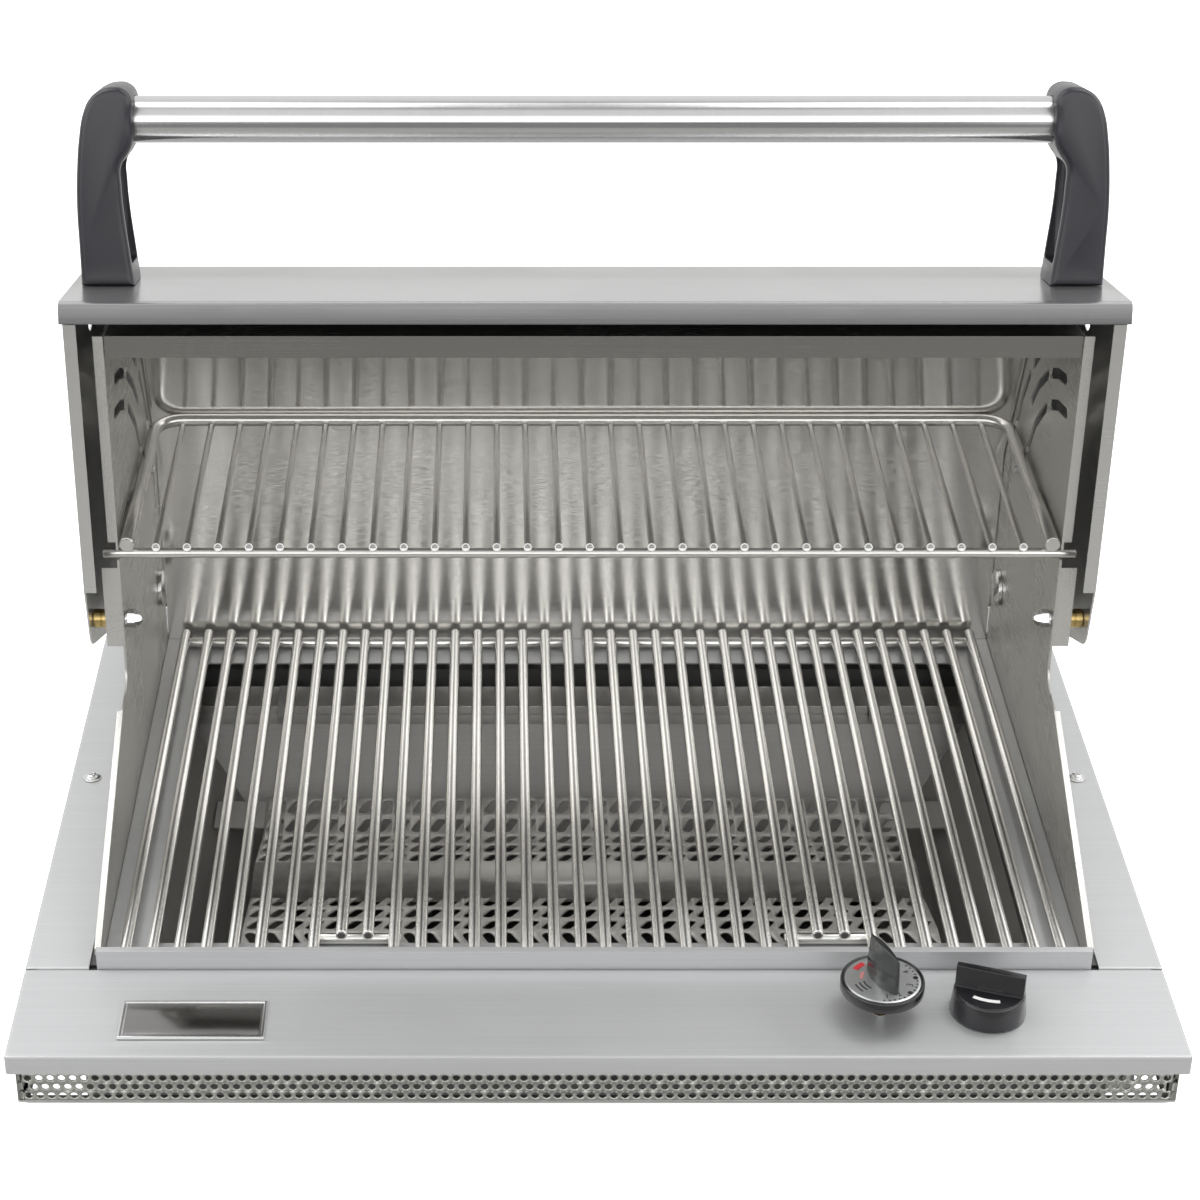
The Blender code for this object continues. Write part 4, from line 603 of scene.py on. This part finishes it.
def arc_block(shape, center, radii, rises, start, sweep, steps):
    """Flat curved bar round a centre, from one height to another."""
    corners = [(radii[0], rises[0]), (radii[1], rises[0]), (radii[1], rises[1]), (radii[0], rises[1])]
    verts = [shape.verts.new((center.x + math.cos(start) * reach, center.y + math.sin(start) * reach, height))
             for reach, height in corners]
    face = shape.faces.new(verts)
    bmesh.ops.spin(shape, geom=[face, *face.edges, *verts], cent=center, axis=(0, 0, 1), angle=sweep,
                   steps=steps)


def numeral(shape, label, place, turn, size):
    """Raised plain figure on a dial."""
    words = bpy.data.curves.new("numeral", "FONT")
    words.body = label
    words.size = size
    words.align_x = words.align_y = "CENTER"
    words.extrude = 0.00004
    words.resolution_u = 3
    holder = bpy.data.objects.new("numeral", words)
    flat = bpy.data.meshes.new_from_object(holder)
    bpy.data.objects.remove(holder)
    flat.transform(Matrix.Translation(place) @ Matrix.Rotation(turn, 4, "Z"))
    shape.from_mesh(flat)
    bpy.data.meshes.remove(flat)


# Vent skirt

vent_pitch = 0.0069
vent_row_pitch = 0.0067
vent_radius = 0.0023
vent_first_row = 0.0056


def perforated_band(shape, length, height, matrix):
    """One side of the vent skirt with three staggered rows of round holes."""
    count = int(length / vent_pitch)
    band = bmesh.new()
    low = vent_first_row - vent_row_pitch / 2
    places = []
    for row in range(3):
        cells = count - row % 2
        middle = vent_first_row + row * vent_row_pitch
        places += [Vector(((column - (cells - 1) / 2) * vent_pitch, middle, 0)) for column in range(cells)]
        reach = cells * vent_pitch / 2
        for side in (-1, 1):
            plain_cell(band, *sorted((side * reach, side * length / 2)), middle - vent_row_pitch / 2,
                       middle + vent_row_pitch / 2)
    lay_cells(band, holed_cell(vent_radius, 0.0, 0.0, vent_pitch / 2, vent_row_pitch / 2), places)
    plain_cell(band, -length / 2, length / 2, 0.0, low)
    plain_cell(band, -length / 2, length / 2, low + 3 * vent_row_pitch, height)
    join_shape(shape, band, matrix)


def make_vent_skirt():
    """Perforated skirt with its inturned lip."""
    low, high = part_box("vent_skirt")
    shape = bmesh.new()
    sheet_half = sheet_wall / 2
    half = high.x - sheet_half
    front, rear = low.y + sheet_half, high.y - sheet_half
    height = high.z - low.z - sheet_half
    base = low.z + sheet_half
    upright = Matrix.Rotation(math.radians(90), 4, "X")
    depth = rear - front
    middle = (front + rear) / 2
    quarter = Matrix.Rotation(math.radians(90), 4, "Z")
    sides = ((2 * half, (0, front, base), Matrix()),
             (depth, (half, middle, base), quarter),
             (2 * half, (0, rear, base), quarter @ quarter),
             (depth, (-half, middle, base), quarter.inverted()))
    for length, place, turn in sides:
        perforated_band(shape, length, height, Matrix.Translation(place) @ turn @ upright)
    lip = 0.006
    for strip in ((-half, lip - half, front, rear), (half - lip, half, front, rear),
                  (lip - half, half - lip, front, front + lip), (lip - half, half - lip, rear - lip, rear)):
        bmesh.ops.translate(shape, verts=plain_cell(shape, *strip), vec=(0, 0, base))
    bmesh.ops.remove_doubles(shape, verts=shape.verts, dist=merge_reach)
    item = put_piece("perforated_skirt", shape, "skirt_steel", "grill_body", ["vent_skirt"], math.radians(50))
    add_wall(item, sheet_wall, 0.0)


# Flavour grid

grid_line = ((0.3750, -0.0600), (0.3267, -0.0600), (0.2629, -0.0396), (0.2226, -0.0396),
             (0.1581, -0.0213), (0.1180, -0.0213), (0.1180, -0.0372))
grid_rows = (2, 3, 0, 3, 2, 0)
grid_leans = (1, 1, 0, 1, -1, 0)
grid_slot_pitch = 0.013
grid_slot_radius = 0.00345
grid_slot_lean = 0.00235
grid_slot_reach = 0.0054
grid_slot_share = 0.24
grid_columns = 35


def make_flavor_grid():
    """Folded grid with rows of large slanted slots."""
    shape = bmesh.new()
    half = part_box("flavor_grid")[1].x
    side = grid_columns * grid_slot_pitch / 2
    for index, rows in enumerate(grid_rows):
        start = spot(0, *grid_line[index])
        travel = spot(0, *grid_line[index + 1]) - start
        length = travel.length
        upward = travel.normalized()
        turn = Matrix((Vector((1, 0, 0)), upward, Vector((1, 0, 0)).cross(upward))).transposed().to_4x4()
        strip = bmesh.new()
        if rows:
            reach = length / rows
            cell = holed_cell(grid_slot_radius, min(grid_slot_reach, reach * grid_slot_share),
                              -grid_slot_lean * grid_leans[index], grid_slot_pitch / 2, reach / 2)
            lay_cells(strip, cell, [
                Vector(((column - (grid_columns - 1) / 2) * grid_slot_pitch, (row + 0.5) * reach, 0))
                for row in range(rows) for column in range(grid_columns)])
            plain_cell(strip, -half, -side, 0.0, length)
            plain_cell(strip, side, half, 0.0, length)
        else:
            plain_cell(strip, -half, half, 0.0, length)
        join_shape(shape, strip, Matrix.Translation(start) @ turn)
    bmesh.ops.remove_doubles(shape, verts=shape.verts, dist=merge_reach)
    bmesh.ops.recalc_face_normals(shape, faces=shape.faces)
    item = put_piece("slotted_grid", shape, "grid_steel", "flavor_grid", ["flavor_grid"])
    top = max(item.data.polygons, key=lambda one: abs(one.normal.z))
    add_wall(item, sheet_wall, -1.0 if top.normal.z > 0 else 1.0)


# Grates

rod_radius = 0.0038
rod_step = 0.017
rod_count = 18
short_rods = (8, 9)
rod_rise = 0.0072
cross_rise = 0.0029
rod_front = 0.0925
rod_rear = 0.499
short_front = 0.1135
cross_backs = (0.101, 0.492)
short_cross_back = 0.1165
grates_apart = 0.0157
bead_rise = (rod_rise + cross_rise) / 2


def weld_bead(shape, place, size):
    """Squashed bead of weld."""
    made = bmesh.ops.create_uvsphere(shape, u_segments=8, v_segments=5, radius=size)["verts"]
    bmesh.ops.scale(shape, vec=(1.25, 0.9, 0.55), verts=made)
    bmesh.ops.translate(shape, verts=made, vec=place)


def make_grate(hand):
    """One grate of polished rods welded on cross rods, two of them cut short as a place to lift it by."""
    name = handed("grate", hand)
    shape = bmesh.new()
    middle = hand * (grates_apart + (rod_count - 1) * rod_step) / 2
    sides = [middle + (number - (rod_count - 1) / 2) * rod_step for number in range(rod_count)]
    for number, side in enumerate(sides):
        short = number in short_rods
        front = short_front if short else rod_front
        rod_between(shape, spot(side, front, rod_rise), spot(side, rod_rear, rod_rise), rod_radius, 16,
                    0.0007)
        for back in (short_cross_back if short else cross_backs[0], cross_backs[1]):
            for lean in (-1, 1):
                weld_bead(shape, spot(side + lean * 0.0026, back, bead_rise), 0.0013)
    over = rod_step / 4
    for back, first, last in ((cross_backs[0], 0, -1), (cross_backs[1], 0, -1), (short_cross_back, 7, 10)):
        rod_between(shape, spot(sides[first] - over, back, cross_rise),
                    spot(sides[last] + over, back, cross_rise), rod_radius, 16, 0.0006)
    put_piece(name + "_rods", shape, "rod_steel", name, [name])
    # Dark discs on the front ends of the short rods: painted shade
    end_shade_discs = bmesh.new()
    forward = Matrix.Rotation(math.pi / 2, 4, "X")
    for number in short_rods:
        place = spot(sides[number], short_front - 0.0001, rod_rise)
        add_disc(end_shade_discs, 0.0024, 0.0002, 20, Matrix.Translation(place) @ forward)
    put_piece(name + "_rod_end_shades", end_shade_discs, "dark_steel", name)


# Warming rack

front_wire_back = 0.2936
front_wire_rise = 0.1877
front_wire_radius = 0.0034
front_wire_half = 0.3225
rack_front = front_wire_back - front_wire_radius
rack_rear = 0.4815
rack_corner = 0.02
arm_side = 0.3064
arm_radius = 0.0045
sleeve_rear = 0.365
sleeve_radius = 0.0051
wire_count = 29
wire_step = 0.0205
wire_radius = 0.0023
wire_rise = front_wire_rise + front_wire_radius + wire_radius - 0.0006
wire_end_radius = 0.0027
wire_end_tilt = math.radians(55)


def make_warming_rack():
    """Rack of thin wires with ground ends, on a bent frame rod and a front wire, with sleeves on its arms."""
    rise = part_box("warming_rack")[1].z - deck_rise - arm_radius
    shape = bmesh.new()
    run = rack_rear - rack_corner - rack_front
    turn_back = rack_rear - rack_corner
    bent_rod(shape, spot(-arm_side, rack_front, rise), (0, 1, 0), arm_radius, [
        ("straight", (0, run, 0), None),
        ("turn", spot(-arm_side + rack_corner, turn_back, rise), -math.radians(90)),
        ("straight", (2 * (arm_side - rack_corner), 0, 0), None),
        ("turn", spot(arm_side - rack_corner, turn_back, rise), -math.radians(90)),
        ("straight", (0, -run, 0), None),
    ])
    rod_between(shape, spot(-front_wire_half, front_wire_back, front_wire_rise),
                spot(front_wire_half, front_wire_back, front_wire_rise), front_wire_radius, 20, 0.0007)
    sides = [(number - (wire_count - 1) / 2) * wire_step for number in range(wire_count)]
    for side in sides:
        rod_between(shape, spot(side, rack_front, wire_rise), spot(side, rack_rear, wire_rise), wire_radius,
                    12, 0.0006)
        weld_bead(shape, spot(side, front_wire_back, front_wire_rise + 0.0032), 0.0016)
    for side in (-arm_side, arm_side):
        rod_between(shape, spot(side, rack_front + 0.0012, rise), spot(side, sleeve_rear, rise),
                    sleeve_radius, 20, 0.0005)
        weld_bead(shape, spot(side, front_wire_back, rise - 0.0045), 0.0024)
    put_piece("rack_wires", shape, "rack_steel", "warming_rack", ["warming_rack"])
    ends = bmesh.new()
    tilt = Matrix.Rotation(wire_end_tilt, 4, "X")
    for side in sides:
        place = spot(side, rack_front + 0.001, wire_rise + 0.0004)
        add_disc(ends, wire_end_radius, 0.0012, 14, Matrix.Translation(place) @ tilt)
    put_piece("rack_wire_ends", ends, "ground_ends", "warming_rack")


# Handle

def make_handle():
    """Polished tube of the handle."""
    low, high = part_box("handle_tube")
    center = (low + high) / 2
    radius = (high.z - low.z) / 2
    shape = bmesh.new()
    rod_between(shape, (low.x, center.y, center.z), (high.x, center.y, center.z), radius, 64, 0.0008)
    put_piece("handle_bar", shape, "tube_steel", "hood", ["handle_tube"])


# Pivot hardware and screws

def make_pivot(hand):
    """Brass bushing with its grooves."""
    name = handed("pivot_bushing", hand)
    low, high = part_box(name)
    center = (low + high) / 2
    half = (high.x - low.x) / 2
    outer = (high.z - low.z) / 2
    shape = bmesh.new()
    inner = outer * 0.49
    profile = [(inner, -half), (outer - 0.0006, -half), (outer, -half + 0.0006)]
    for share in (-0.45, 0.0, 0.45):
        here = share * half
        profile += [(outer, here - 0.0007), (outer - 0.0005, here - 0.0003), (outer - 0.0005, here + 0.0003),
                    (outer, here + 0.0007)]
    profile += [(outer, half - 0.0006), (outer - 0.0006, half), (inner, half), (inner, -half)]
    spun(shape, profile, center, (1, 0, 0), 32)
    put_piece(handed("grooved_bushing", hand), shape, "brass", "grill_body", [name])


def make_deck_screw(name):
    """Button head screw with a flange and a round recess."""
    low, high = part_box(name)
    center = (low + high) / 2
    shape = bmesh.new()
    profile = [(0.0, 0.002), (0.0016, 0.0021), (0.00195, 0.0034), (0.0027, 0.0032), (0.0036, 0.0026),
               (0.00425, 0.0015), (0.0048, 0.0013), (0.006, 0.0011), (0.00625, 0.0008), (0.00625, 0.0003),
               (0.0021, 0.0003), (0.0021, -0.01), (0.0, -0.01)]
    spun(shape, profile, Vector((center.x, center.y, deck_rise)), (0, 0, 1), 30)
    head = put_piece(name + "_head", shape, "polished_steel", "grill_body", [name], math.radians(30))


# Controls

knob_place = Vector((0.1758, -0.252, 0.0))
igniter_place = Vector((0.2423, -0.252, 0.0))
dial_rise = z_at(0.024)
blade_heading = math.radians(-66.0)
igniter_heading = math.radians(-19.0)
mark_height = 0.00008
blade_size = (0.034, 0.013, 0.0249)


def make_knob_rim():
    """Black rim of the gas knob, rolled over at its top."""
    shape = bmesh.new()
    profile = [(0.0034, 0.0228), (0.0034, 0.0165), (0.0246, 0.0165), (0.0256, 0.0169), (0.026, 0.0178),
               (0.026, 0.0229), (0.0257, 0.0237), (0.0251, 0.0242), (0.0245, 0.0243), (0.024, 0.0241),
               (0.0237, 0.0236), (0.0237, 0.0228), (0.0034, 0.0228)]
    spun(shape, profile, knob_place + Vector((0, 0, deck_rise)), (0, 0, 1), 64)
    put_piece("knob_rim", shape, "black_plastic", "control_knob", ["control_knob"])


def make_dial_face():
    """Silver dial with a chamfered edge."""
    shape = bmesh.new()
    profile = [(0.0, 0.024), (0.022, 0.024), (0.0224, 0.02395), (0.0235, 0.0235), (0.0235, 0.0231),
               (0.0, 0.0231)]
    spun(shape, profile, knob_place + Vector((0, 0, deck_rise)), (0, 0, 1), 64)
    item = put_piece("dial_face", shape, "dial_silver", "control_knob", ["dial_plate"], math.radians(12))


def make_knob_blade():
    """Smoky grip of the gas knob: a lens in plan that narrows to a ridge."""
    shape = bmesh.new()
    length, width, height = blade_size
    foot = bmesh.ops.create_circle(shape, cap_ends=True, radius=1.0, segments=36)["verts"]
    for vert in foot:
        lift = abs(vert.co.y)
        vert.co.y = math.copysign(width / 2 * (0.22 + 0.78 * lift ** 2), vert.co.y) if lift > 0.01 else 0.0
        vert.co.x *= length / 2
    grown = bmesh.ops.extrude_face_region(shape, geom=shape.faces[:])["geom"]
    for vert in only(BMVert, grown):
        vert.co.y *= 0.26
        vert.co.x *= 0.985
        vert.co.z += height - 0.0016 * (vert.co.x / length * 2) ** 2
    bmesh.ops.recalc_face_normals(shape, faces=shape.faces)
    ease_edges(shape, 0.0006, 2, math.radians(50))
    base = knob_place + Vector((0, 0, dial_rise + 0.00005))
    place_verts(shape, shape.verts[:], Matrix.Translation(base) @ Matrix.Rotation(blade_heading, 4, "Z"))
    put_piece("knob_blade", shape, "smoky_plastic", "control_knob")


def dial_spot(heading, reach):
    """Middle of a mark's height on the dial, at one heading and reach."""
    centre = knob_place + Vector((math.cos(heading), math.sin(heading), 0)) * reach
    return centre + Vector((0, 0, dial_rise + mark_height / 2))


def make_dial_marks():
    """Generic marks of the dial: dots, ticks, plain figures and a red wedge."""
    rises = (dial_rise, dial_rise + mark_height)
    black = bmesh.new()
    for angle in (-42, 4):
        add_disc(black, 0.0016, mark_height, 16, Matrix.Translation(dial_spot(math.radians(angle), 0.0203)))
    for angle in range(-96, 48, 9):
        arc_block(black, knob_place, (0.0206, 0.0218), rises, math.radians(angle), math.radians(3.0), 1)
    for label, angle in (("1", -88), ("2", -62), ("3", -20), ("4", 26)):
        heading = math.radians(angle)
        numeral(black, label, dial_spot(heading, 0.0172), heading + math.radians(90), 0.006)
    for reach, low, sweep in ((0.0176, 196, 26), (0.0146, 192, 33), (0.0116, 188, 40)):
        arc_block(black, knob_place, (reach, reach + 0.001), rises, math.radians(low), math.radians(sweep), 8)
    put_piece("dial_marks", black, "black_print", "control_knob")
    red = bmesh.new()
    arc_block(red, knob_place, (0.0168, 0.0205), rises, math.radians(122), math.radians(26), 8)
    put_piece("dial_wedge", red, "red_print", "control_knob")
    rose = bmesh.new()
    arc_block(rose, knob_place, (0.012, 0.0142), rises, math.radians(146), math.radians(32), 8)
    arc_block(rose, knob_place, (0.01, 0.015), rises, math.radians(36), math.radians(26), 6)
    put_piece("dial_warm_arc", rose, "rose_print", "control_knob")


def make_igniter():
    """Igniter knob with its edges eased, and the white dash on its front half."""
    shape = joined_copy("igniter_knob")
    ease_edges(shape, 0.0005, 3, math.radians(28))
    grip = put_piece("igniter_grip", shape, "black_plastic", "igniter_knob", ["igniter_knob"])
    dash = bmesh.new()
    top = z_at(0.0165)
    facing = Vector((math.sin(igniter_heading), -math.cos(igniter_heading), 0))
    centre = igniter_place - facing * 0.018
    start = math.atan2(facing.y, facing.x) - math.radians(16)
    arc_block(dash, centre, (0.0286, 0.0315), (top, top + 0.0001), start, math.radians(32), 12)
    ease_edges(dash, 0.00003, 1, math.radians(60))
    put_piece("igniter_dash", dash, "white_print", "igniter_knob")


# Handle brackets

bracket_climb = Vector((0.0, 0.97493, -0.22252))
bracket_outward = Vector((0.0, 0.22252, 0.97493))
bracket_foot = Vector((0.0, 0.05, 0.5342))
bracket_outer_side = 0.3298
bracket_width = 0.0373
bracket_height = 0.1268
bracket_depth = 0.041
bracket_round = 0.0042
pocket_size = (0.027, 0.066, bracket_depth - 0.012)
pocket_place = (bracket_outer_side - 0.037, 0.0465, 0)
socket_radius = 0.0153
socket_depth = 0.04
socket_place = (0.2925, 0.1045, 0)
bracket_edge = (
    (0.03, 0.003), (0.015, 0.20), (0.0, 0.40), (0.03, 0.60), (0.085, 0.75), (0.17, 0.87), (0.30, 0.945),
    (0.48, 0.985), (0.68, 1.0), (0.86, 0.992), (0.99, 0.95), (1.0, 0.84), (0.99, 0.72), (0.90, 0.665),
    (0.78, 0.61), (0.77, 0.50), (0.80, 0.36), (0.87, 0.18), (0.94, 0.003))


def cut_away(shape, tools):
    """Shape with the forms of some tools taken out of it."""
    item = as_object("blank", shape)
    holders = [as_object("tool", tool) for tool in tools]
    for holder in holders:
        cut = item.modifiers.new("cut", "BOOLEAN")
        cut.object = holder
        cut.solver = "EXACT"
    bpy.context.view_layer.update()
    made = bpy.data.meshes.new_from_object(item.evaluated_get(bpy.context.evaluated_depsgraph_get()))
    for holder in (item, *holders):
        bpy.data.objects.remove(holder)
    result = bmesh.new()
    result.from_mesh(made)
    bpy.data.meshes.remove(made)
    return result


def smooth_loop(points):
    """Corners of a closed smooth outline through some points."""
    line = bpy.data.curves.new("outline", "CURVE")
    line.resolution_u = 5
    run = line.splines.new("BEZIER")
    run.bezier_points.add(len(points) - 1)
    for knot, (across, up) in zip(run.bezier_points, points):
        knot.co = (across, up, 0.0)
        knot.handle_left_type = knot.handle_right_type = "AUTO"
    holder = bpy.data.objects.new("outline", line)
    flat = bpy.data.meshes.new_from_object(holder)
    bpy.data.objects.remove(holder)
    corners = [vert.co.copy() for vert in flat.vertices]
    bpy.data.meshes.remove(flat)
    return corners


def make_bracket(hand):
    """Cast bracket with soft edges, hollow on its inner side, with a socket for the tube."""
    name = handed("handle_bracket", hand)
    points = [(bracket_outer_side - share * bracket_width, rise * bracket_height)
              for share, rise in bracket_edge]
    shape = bmesh.new()
    face = shape.faces.new([shape.verts.new((corner.x, corner.y, -bracket_depth / 2))
                            for corner in smooth_loop(points)])
    grown = bmesh.ops.extrude_face_region(shape, geom=[face])["geom"]
    bmesh.ops.translate(shape, verts=only(BMVert, grown), vec=(0, 0, bracket_depth))
    bmesh.ops.recalc_face_normals(shape, faces=shape.faces)
    rims = [edge for edge in shape.edges if abs(edge.verts[0].co.z - edge.verts[1].co.z) < 0.001]
    round_edges(shape, rims, bracket_round, 5, True)
    pocket = bmesh.new()
    add_block(pocket, pocket_size, (0, 0, 0))
    round_edges(pocket, pocket.edges[:], 0.004, 3)
    bmesh.ops.translate(pocket, verts=pocket.verts[:], vec=pocket_place)
    socket = bmesh.new()
    add_disc(socket, socket_radius, socket_depth, 48,
             Matrix.Translation(socket_place) @ Matrix.Rotation(math.pi / 2, 4, "Y"))
    shape = cut_away(shape, (pocket, socket))
    axes = Matrix((Vector((1, 0, 0)), bracket_outward, bracket_climb)).transposed().to_4x4()
    place_verts(shape, shape.verts[:], Matrix.Translation(bracket_foot) @ axes)
    if hand < 0:
        bmesh.ops.scale(shape, vec=(-1, 1, 1), verts=shape.verts[:])
    bmesh.ops.remove_doubles(shape, verts=shape.verts, dist=0.000005)
    bmesh.ops.recalc_face_normals(shape, faces=shape.faces)
    item = put_piece(name + "_casting", shape, "black_casting", "hood", [name], math.radians(35))


# Painted shade at the corners of the opening

filler_size = (0.022, 0.022, 0.001)
filler_place = Vector((0.319, -0.205, 0.1708))


def make_corner_shade_filler(hand):
    """Dark sheet under a front corner of the opening: painted shade that fills a see-through gap."""
    shape = bmesh.new()
    add_block(shape, filler_size, filler_place * Vector((hand, 1, 1)))
    put_piece(handed("corner_shade_filler", hand), shape, "dark_steel", "grill_body")


# Name plate

def make_name_plate():
    """Bare plate: a bright bevelled frame round a dark polished field."""
    low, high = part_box("name_plate")
    center = (low + high) / 2
    size = high - low
    shape = bmesh.new()
    add_block(shape, size, center)
    top = [face for face in shape.faces if face.normal.z > 0.9]
    bmesh.ops.inset_region(shape, faces=top, thickness=0.0009, depth=0.0)
    for vert in shape.verts:
        reach = max(abs(vert.co.x - center.x) * size.y / size.x, abs(vert.co.y - center.y))
        if vert.co.z > center.z and reach > size.y / 2 - 0.0001:
            vert.co.z -= 0.0007
    bmesh.ops.inset_region(shape, faces=top, thickness=0.0016, depth=0.0)
    bmesh.ops.inset_region(shape, faces=top, thickness=0.0004, depth=-0.0007)
    item = put_piece("plate_frame", shape, "polished_steel", "grill_body", ["name_plate"], math.radians(14))
    eased = item.modifiers.new("eased", "BEVEL")
    eased.width = 0.0002
    eased.segments = 2
    field = bmesh.new()
    add_block(field, (size.x - 0.0068, size.y - 0.0068, 0.0003), (center.x, center.y, high.z - 0.0005))
    ease_edges(field, 0.0001, 2, math.radians(60))
    put_piece("plate_field", field, "dark_mirror", "grill_body")


# Lamps on each side: name, place, target, width, height and power
lamps = (
    ("overhead", (0.95, 0.35, 2.7), (0.3, 0.1, 0.2), 1.1, 1.4, 8.0),
    ("box", (1.25, 0.3, 1.5), (0.0, 0.1, 0.2), 0.26, 1.5, 5.0),
    ("side", (2.1, -1.9, 0.95), (0.0, 0.0, 0.5), 1.1, 1.3, 3.5),
)
white = (1.0, 1.0, 1.0, 1.0)


def add_lamp(hand, name, place, target, width, height, power):
    """Soft box on one side that looks at a point."""
    data = bpy.data.lights.new(name, "AREA")
    data.shape = "RECTANGLE"
    data.size = width
    data.size_y = height
    data.energy = power
    item = add_object(name, data)
    flip = Matrix.Diagonal((hand, 1, 1))
    item.location = flip @ Vector(place)
    item.rotation_euler = (flip @ (Vector(target) - Vector(place))).to_track_quat("-Z", "Y").to_euler()


def set_light():
    """Soft studio light: a white room, greyer above and below, with a bright band before the grill."""
    world = bpy.data.worlds.new("studio")
    scene.world = world
    world.use_nodes = True
    tree = world.node_tree
    heading = tree.nodes.new("ShaderNodeTexCoord").outputs["Generated"]
    height = axis_part(tree, heading, "Z")
    rear = ramp(tree, height, 0.65, 0.95, 0.94, 0.8)
    front = maths(tree, "MINIMUM", ramp(tree, height, 0.07, 0.13, 0.2, 1.9),
                  ramp(tree, height, 0.5, 0.6, 1.9, 0.9))
    behind = ramp(tree, axis_part(tree, heading, "Y"), -0.15, 0.15)
    room = new_node(tree, "ShaderNodeMix", {"Factor": behind, "A": front, "B": rear}).outputs[0]
    dusk = times(tree, room, ramp(tree, height, 0.86, 0.97, 1.0, 0.35))
    path = tree.nodes.new("ShaderNodeLightPath").outputs
    seen = maths(tree, "MAXIMUM", path["Is Camera Ray"], path["Is Transmission Ray"])
    glow = new_node(tree, "ShaderNodeMix", {"Factor": path["Is Glossy Ray"], "A": 0.85, "B": dusk}).outputs[0]
    give(tree, tree.nodes["Background"], {"Color": white, "Strength": maths(tree, "MAXIMUM", glow, seen)})
    for hand in (-1, 1):
        for lamp in lamps:
            add_lamp(hand, *lamp)


def set_floor():
    """Pale floor that shows white behind the grill and keeps its shadow."""
    shape = bmesh.new()
    bmesh.ops.create_grid(shape, x_segments=1, y_segments=1, size=14.0)
    item = as_object("floor", shape)
    made, tree, shader, place = start_finish("pale_floor")
    path = tree.nodes.new("ShaderNodeLightPath").outputs
    along_y = axis_part(tree, place, "Y")
    table = tint(tree, ramp(tree, along_y, -1.6, -1.2), (0.2, 0.2, 0.2), (0.42, 0.415, 0.4))
    bright = times(tree, times(tree, path["Is Glossy Ray"], ramp(tree, along_y, 0.2, 0.6)), 0.4)
    give(tree, shader, {
        "Base Color": tint(tree, path["Is Glossy Ray"], (0.88, 0.88, 0.88), table), "Roughness": 0.9,
        "Emission Color": white,
        "Emission Strength": maths(tree, "ADD", times(tree, path["Is Camera Ray"], 0.84), bright)})
    item.data.materials.append(made)


set_camera()
set_light()
set_floor()
for node_name, node_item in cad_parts.items():
    dress_node(node_name, node_item)

make_vent_skirt()
make_flavor_grid()
for side_hand in (-1, 1):
    make_grate(side_hand)
    make_pivot(side_hand)
make_warming_rack()
make_handle()
make_deck_screw("deck_screw_left")
make_deck_screw("deck_screw_right")
make_name_plate()
for side_hand in (-1, 1):
    make_corner_shade_filler(side_hand)
make_knob_rim()
make_dial_face()
make_knob_blade()
make_dial_marks()
make_igniter()
make_bracket(-1)
make_bracket(1)

scene.view_settings.view_transform = "Standard"
